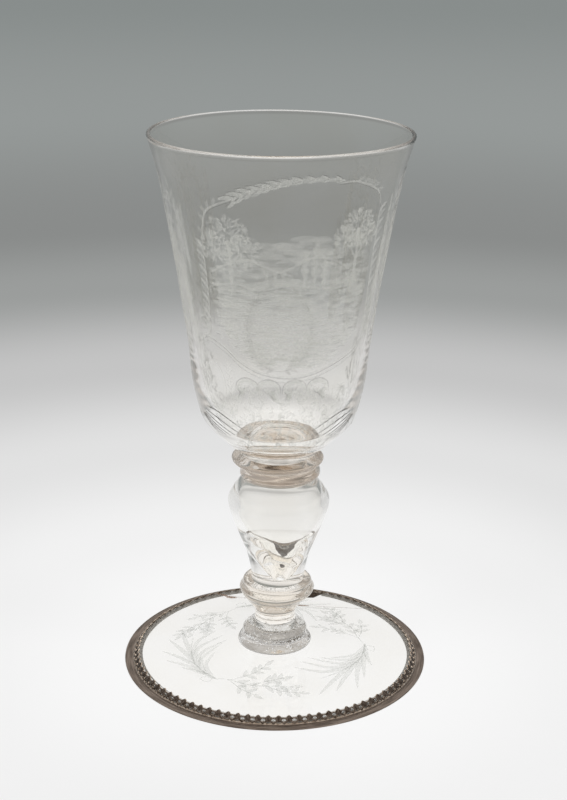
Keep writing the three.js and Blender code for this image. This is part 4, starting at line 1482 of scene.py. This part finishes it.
class GOBLET_OT_mount(Operator):
    """Makes the silver ring the foot rests in, and the pierced strip of leaves that leans in over its edge"""
    bl_idname = "goblet.mount"
    bl_label = "Silver mount"

    def execute(self, context):
        sizes = context.scene.goblet_mount
        colours = context.scene.goblet_colours
        dark = Vector(colours.dark_tarnish)
        light = Vector(colours.light_tarnish)
        flange = tarnished_silver(
            "tarnished_silver_flange", dark.lerp(light, 0.32), light, 0.42, 0.8 * MM, streak=14.0,
        )
        # The ledge is cleaner silver, nearly matt. Its pale colour is partly painted light, standing in for
        # the light that reaches it through the glass.
        ledge = tarnished_silver(
            "clean_ledge_with_painted_light", linear("b9b4ac"), linear("dedad3"), 0.7, 2 * MM, metallic=0.2,
        )
        strip = tarnished_silver("dark_tarnished_silver", dark, dark.lerp(light, 0.5), 0.4, 0.9 * MM)
        # Rubbed silver for the strip's edges, rail and back. Its pale colour is partly a painted highlight,
        # for the glints along the strip's foot.
        worn_and_highlit = tarnished_silver("worn_silver_edges_painted_highlight", linear("8d7c6c"), linear("d8cabb"), 0.35, 1.2 * MM)
        self.ring(context, sizes, [flange, ledge])
        self.gallery(context, sizes, [strip, worn_and_highlit])
        plate = tarnished_silver(
            "granular_tarnished_metal", linear("3c342e"), linear("6a5d52"), 0.7, 0.8 * MM,
        )

        # The fill plate keeps its CAD shape, and only gets its metal here
        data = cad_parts["fill_plate"].data
        data.materials.clear()
        data.materials.append(plate)
        return {"FINISHED"}

    @staticmethod
    def ring(context, sizes, materials):
        """A level ledge under the glass, and a flange that slopes to a rolled edge."""
        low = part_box("mount_ring")[0].z
        strip_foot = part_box("mount_gallery")[1].x
        ledge = foot_radius() - sizes.ledge_overlap
        edge = strip_foot + sizes.flange_width
        half = sizes.flange_edge / 2
        fall = sizes.ledge_thickness - sizes.flange_edge
        outline = [
            (ledge, 0.0),
            *arc((edge - half, half), half, -90, 60, 5),
            (strip_foot + 0.5 * sizes.flange_width, sizes.flange_edge + 0.62 * fall),
            (strip_foot + 0.15 * sizes.flange_width, sizes.ledge_thickness),
            (strip_foot + 0.04 * sizes.flange_width, sizes.ledge_thickness - GROOVE_DEPTH),
            (strip_foot, sizes.ledge_thickness - GROOVE_DEPTH),
            (strip_foot - 0.1 * MM, sizes.ledge_thickness),
            (foot_radius() + sizes.clearance, sizes.ledge_thickness - SEAT_GAP),
            (ledge, sizes.ledge_thickness - SEAT_GAP),
        ]
        mesh = turned(raised(outline, low), MOUNT_STEPS, closed=True)
        for face in mesh.faces:
            inside = face.calc_center_median().xy.length < strip_foot - sizes.strip_thickness
            face.material_index = 1 if inside else 0
        crease(mesh)
        new_piece(context, "silver_ring", mesh, materials, ["mount_ring"])

    @staticmethod
    def leaf_cell(sizes):
        """One cell of the strip, laid flat: across from 0 to 1, up in metres, raised toward the viewer. The
        leaf stands in its middle over a lens-shaped slit, and half an opening is at each side."""
        band, tip = sizes.band_height, sizes.leaf_height
        half = [
            (0.0, 0.0), (0.5, 0.0), (0.5, 0.12 * band), (0.34, 0.15 * band), (0.2, 0.24 * band),
            (0.33, 0.35 * band), (0.5, 0.4 * band), (0.5, 0.58 * band), (0.5, 0.78 * band), (0.5, 0.86 * tip),
            (0.5, tip), (0.38, 0.94 * tip), (0.28, 0.85 * tip), (0.3, 0.79 * tip), (0.2, 0.75 * tip),
            (0.12, 0.98 * band), (0.0, band), (0.0, 0.88 * band), (0.12, 0.85 * band), (0.21, 0.68 * band),
            (0.2, 0.5 * band), (0.1, 0.38 * band), (0.0, 0.35 * band),
        ]
        cell = bmesh.new()
        cell.faces.new([cell.verts.new((across, up, 0.0)) for across, up in half])
        copied = bmesh.ops.duplicate(cell, geom=[*cell.verts, *cell.edges, *cell.faces])["geom"]
        copied_corners = [item for item in copied if isinstance(item, bmesh.types.BMVert)]
        bmesh.ops.scale(cell, vec=(-1, 1, 1), verts=copied_corners)
        bmesh.ops.translate(cell, vec=(1, 0, 0), verts=copied_corners)
        bmesh.ops.remove_doubles(cell, verts=cell.verts, dist=TOUCHING)
        bmesh.ops.recalc_face_normals(cell, faces=cell.faces)
        bmesh.ops.triangulate(cell, faces=cell.faces)
        grown = bmesh.ops.extrude_face_region(cell, geom=cell.faces[:])["geom"]
        front = [item for item in grown if isinstance(item, bmesh.types.BMVert)]
        bmesh.ops.translate(cell, vec=(0, 0, sizes.strip_thickness), verts=front)
        for corner in front:
            on_rib = abs(corner.co.x - 0.5) < TOUCHING and 0.5 * band < corner.co.y < 0.95 * tip
            corner.co.z += RIB_HEIGHT if on_rib else 0.0
        ends = []
        for face in cell.faces:
            if all(abs(corner.co.x - round(corner.co.x)) < TOUCHING for corner in face.verts):
                ends.append(face)
        bmesh.ops.delete(cell, geom=ends, context="FACES_ONLY")
        # The front keeps the tarnish. The back, the walls of the openings and the rail along the strip's foot
        # take the rubbed silver, whose pale colour is partly a painted highlight.
        for face in cell.faces:
            on_front = all(corner.co.z > 0.5 * sizes.strip_thickness for corner in face.verts)
            on_rail = all(corner.co.y < 0.26 * band for corner in face.verts)
            face.material_index = 0 if on_front and not on_rail else 1
        return cell

    def gallery(self, context, sizes, materials):
        """The cell bent round the foot, once for each leaf."""
        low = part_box("mount_gallery")[0].z
        rounding = context.scene.goblet_foot.edge_thickness / 2
        face_run = rounding + sizes.clearance + rounding * math.cos(sizes.slope)
        inner = foot_radius() - rounding + face_run / math.sin(sizes.slope)
        mesh = self.leaf_cell(sizes)
        for corner in mesh.verts:
            across, up, out = corner.co
            radius = inner + out - up / math.tan(sizes.slope)
            angle = math.tau * across / sizes.leaves
            corner.co = (radius * math.sin(angle), -radius * math.cos(angle), low + up)
        bmesh.ops.spin(
            mesh, geom=[*mesh.verts, *mesh.edges, *mesh.faces], cent=(0, 0, 0), axis=(0, 0, 1),
            angle=math.tau * (sizes.leaves - 1) / sizes.leaves, steps=sizes.leaves - 1, use_duplicate=True,
        )
        bmesh.ops.remove_doubles(mesh, verts=mesh.verts, dist=0.01 * MM)
        bmesh.ops.recalc_face_normals(mesh, faces=mesh.faces)
        crease(mesh)
        new_piece(context, "silver_gallery", mesh, materials, ["mount_gallery"])


class GOBLET_OT_glue(Operator):
    """Leaves aged glue along the foot's crack, and brown cement at its left end"""
    bl_idname = "goblet.glue"
    bl_label = "Glue in the crack"

    def execute(self, context):
        glue = Engraving(on_foot(context), 3)
        glue.cut([(9, 40.1), (20, 39.8), (32, 39.75), (45, 39.75)], 0.5, blunt=0.3, depth=SHALLOW)
        glue.cut([(7, 41.0), (11, 40.0), (16, 39.8)], 1.3, blunt=0.5)
        glue.cut([(-28.5, 54.8), (-26, 53), (-23, 51.2)], 1.5, blunt=0.4)
        glue.cut([(-24.5, 51.6), (-22, 50.2), (-18.5, 49.6)], 2.6, blunt=0.5)
        glue.cut([(-20, 49.6), (-16, 49.2), (-12, 48.6)], 0.8, blunt=0.4, depth=SHALLOW)
        shade = context.scene.goblet_colours.glue
        materials = [aged_glue("brown_cement", shade, 0.6), aged_glue("thin_aged_glue", shade, 0.14)]
        glue.finish(context, "crack_glue", materials)
        return {"FINISHED"}


class GOBLET_OT_stage(Operator):
    """Sets up the camera, the lamps, the pale floor and the light around"""
    bl_idname = "goblet.stage"
    bl_label = "Stage"

    def execute(self, context):
        settings = context.scene.goblet_stage
        self.camera(context, settings)
        self.lamps(context)
        self.floor(context)
        self.surroundings(context, settings)
        context.scene.view_settings.view_transform = "Standard"
        context.scene.cycles.max_bounces = LIGHT_BOUNCES
        context.scene.cycles.transmission_bounces = LIGHT_BOUNCES
        context.scene.cycles.glossy_bounces = LIGHT_BOUNCES
        context.scene.cycles.transparent_max_bounces = LIGHT_BOUNCES
        return {"FINISHED"}

    @staticmethod
    def camera(context, settings):
        """The camera stands in front of the goblet and looks down at it."""
        data = bpy.data.cameras.new("photo_view")
        data.lens = settings.lens
        data.sensor_width = 36.0
        camera = bpy.data.objects.new("photo_view", data)
        context.scene.collection.objects.link(camera)
        stand = Matrix.Translation((settings.side, -settings.distance, settings.height))
        tilt = Matrix.Rotation(math.radians(90) - settings.pitch, 4, "X")
        camera.matrix_world = stand @ tilt @ Matrix.Rotation(settings.roll, 4, "Z")
        context.scene.camera = camera

    @staticmethod
    def lamps(context):
        """Soft boxes that light matt surfaces. Gloss and glass mirror the room alone."""
        for name, (place, size, power) in SOFT_BOXES.items():
            data = bpy.data.lights.new(name, "AREA")
            data.shape = "SQUARE"
            data.size = size
            data.energy = power
            lamp = bpy.data.objects.new(name, data)
            lamp.visible_glossy = False
            lamp.visible_transmission = False
            context.scene.collection.objects.link(lamp)
            aim = Vector(LAMP_AIM) - Vector(place)
            lamp.matrix_world = Matrix.Translation(place) @ aim.to_track_quat("-Z", "Y").to_matrix().to_4x4()

    @staticmethod
    def floor(context):
        """A pale sweep, white round the goblet and grey further off."""
        mesh = bmesh.new()
        bmesh.ops.create_circle(mesh, cap_ends=True, segments=96, radius=FLOOR_RADIUS)
        data = bpy.data.meshes.new("floor")
        mesh.to_mesh(data)
        mesh.free()
        data.materials.append(pale_sweep())
        floor = bpy.data.objects.new("floor", data)
        context.scene.collection.objects.link(floor)

    @staticmethod
    def surroundings(context, settings):
        """Even light on matt surfaces. The eye, gloss and glass see the sweep's far grey instead."""
        world = bpy.data.worlds.new("studio")
        context.scene.world = world
        world.use_nodes = True
        world.node_tree.nodes.clear()
        even = add_node(world, "ShaderNodeBackground", {"Color": (1, 1, 1, 1), "Strength": settings.ambient})
        direction = add_node(world, "ShaderNodeTexCoord").outputs["Generated"]
        parts = add_node(world, "ShaderNodeSeparateXYZ", {"Vector": direction})
        upward = add_node(world, "ShaderNodeValToRGB", {"Fac": parts.outputs["Z"]})
        set_ramp(upward, [(up, linear(grey)) for up, grey in ROOM_SHADES])
        frontward = add_node(world, "ShaderNodeMapRange", {
            "Value": parts.outputs["Y"], "From Min": 0.1, "From Max": -0.8,
        })
        room = add_node(world, "ShaderNodeMix", {
            0: frontward.outputs[0], "A": upward.outputs["Color"], "B": (*linear(ROOM_BEHIND_CAMERA), 1),
        }, data_type="RGBA", blend_type="MULTIPLY")
        overhead = add_node(world, "ShaderNodeMapRange", {
            "Value": parts.outputs["Z"], "From Min": 0.82, "From Max": 0.99,
            "To Min": 0.0, "To Max": OVERHEAD_GLOSS,
        }, interpolation_type="SMOOTHSTEP")
        path = add_node(world, "ShaderNodeLightPath")
        mirrored = add_node(world, "ShaderNodeMath", {
            0: path.outputs["Is Glossy Ray"], 1: path.outputs["Is Transmission Ray"],
        }, operation="GREATER_THAN")
        strength = add_node(world, "ShaderNodeMath", {
            0: overhead.outputs[0], 1: mirrored.outputs[0], 2: 1.0,
        }, operation="MULTIPLY_ADD")
        far = add_node(world, "ShaderNodeBackground", {
            "Color": room.outputs["Result"], "Strength": strength.outputs[0],
        })
        both = add_node(world, "ShaderNodeMixShader", {
            0: seen_directly(world), 1: even.outputs[0], 2: far.outputs[0],
        })
        add_node(world, "ShaderNodeOutputWorld", {"Surface": both.outputs[0]})


def seen_directly(material):
    """1 where the eye, a reflection or a view through glass sees a surface, 0 where it only sends light."""
    path = add_node(material, "ShaderNodeLightPath")
    mirrored = add_node(material, "ShaderNodeMath", {
        0: path.outputs["Is Camera Ray"], 1: path.outputs["Is Glossy Ray"],
    }, operation="MAXIMUM")
    seen = add_node(material, "ShaderNodeMath", {
        0: mirrored.outputs[0], 1: path.outputs["Is Transmission Ray"],
    }, operation="MAXIMUM")
    unscattered = add_node(material, "ShaderNodeMath", {
        0: path.outputs["Diffuse Depth"], 1: 0.5,
    }, operation="LESS_THAN")
    both = add_node(material, "ShaderNodeMath", {
        0: seen.outputs[0], 1: unscattered.outputs[0],
    }, operation="MULTIPLY")
    return both.outputs[0]


def pale_sweep():
    """Matt white sweep under soft light that fades with distance. Its own light stands for the lit table,
    and the matt share keeps the goblet's soft shadow."""
    material = new_material("matt_white_sweep")
    place = add_node(material, "ShaderNodeTexCoord").outputs["Object"]
    distance = add_node(material, "ShaderNodeVectorMath", {0: place}, operation="LENGTH")
    share = add_node(material, "ShaderNodeMath", {
        0: distance.outputs["Value"], 1: SWEEP_REACH,
    }, operation="DIVIDE")
    shade = add_node(material, "ShaderNodeValToRGB", {"Fac": share.outputs[0]})
    set_ramp(shade, [(at / SWEEP_REACH, linear(grey)) for at, grey in SWEEP_SHADES])
    shade.color_ramp.interpolation = "EASE"
    matt = add_node(material, "ShaderNodeBsdfDiffuse", {"Color": shade.outputs["Color"]})
    glow = add_node(material, "ShaderNodeEmission", {"Color": shade.outputs["Color"], "Strength": 1.0})
    under_glass = add_node(material, "ShaderNodeMath", {
        0: distance.outputs["Value"], 1: LIT_THROUGH_FOOT,
    }, operation="LESS_THAN")
    light_share = add_node(material, "ShaderNodeMapRange", {
        "Value": under_glass.outputs[0], "To Min": SWEEP_OWN_LIGHT, "To Max": 1.0,
    })
    own_light = add_node(material, "ShaderNodeMath", {
        0: seen_directly(material), 1: light_share.outputs[0],
    }, operation="MULTIPLY")
    both = add_node(material, "ShaderNodeMixShader", {
        0: own_light.outputs[0], 1: matt.outputs[0], 2: glow.outputs[0],
    })
    add_node(material, "ShaderNodeOutputMaterial", {"Surface": both.outputs[0]})
    return material


class GOBLET_PT_build(Panel):
    """The goblet's pieces, its sizes and its colours"""
    bl_idname = "GOBLET_PT_build"
    bl_label = "Goblet"
    bl_space_type = "VIEW_3D"
    bl_region_type = "UI"
    bl_category = "Goblet"

    def draw(self, context):
        for operator in OPERATORS:
            self.layout.operator(operator.bl_idname)
        for name, _ in GROUPS:
            group = getattr(context.scene, name)
            box = self.layout.box()
            for setting in group.bl_rna.properties:
                if setting.identifier not in ("rna_type", "name"):
                    box.prop(group, setting.identifier)


GROUPS = (
    ("goblet_bowl", GobletBowlSizes),
    ("goblet_stem", GobletStemSizes),
    ("goblet_foot", GobletFootSizes),
    ("goblet_mount", GobletMountSizes),
    ("goblet_colours", GobletColours),
    ("goblet_stage", GobletStageSettings),
)
OPERATORS = (
    GOBLET_OT_bowl, GOBLET_OT_stem, GOBLET_OT_foot, GOBLET_OT_bowl_engraving, GOBLET_OT_foot_engraving,
    GOBLET_OT_mount, GOBLET_OT_glue, GOBLET_OT_stage,
)


def register():
    for name, group in GROUPS:
        bpy.utils.register_class(group)
        setattr(bpy.types.Scene, name, PointerProperty(type=group))
    for made in (*OPERATORS, GOBLET_PT_build):
        bpy.utils.register_class(made)


def unregister():
    for made in reversed((*OPERATORS, GOBLET_PT_build)):
        bpy.utils.unregister_class(made)
    for name, group in reversed(GROUPS):
        delattr(bpy.types.Scene, name)
        bpy.utils.unregister_class(group)


def main():
    register()
    bpy.ops.goblet.bowl()
    bpy.ops.goblet.stem()
    bpy.ops.goblet.foot()
    bpy.ops.goblet.bowl_engraving()
    bpy.ops.goblet.foot_engraving()
    bpy.ops.goblet.mount()
    bpy.ops.goblet.glue()
    bpy.ops.goblet.stage()


if __name__ == "__main__":
    main()
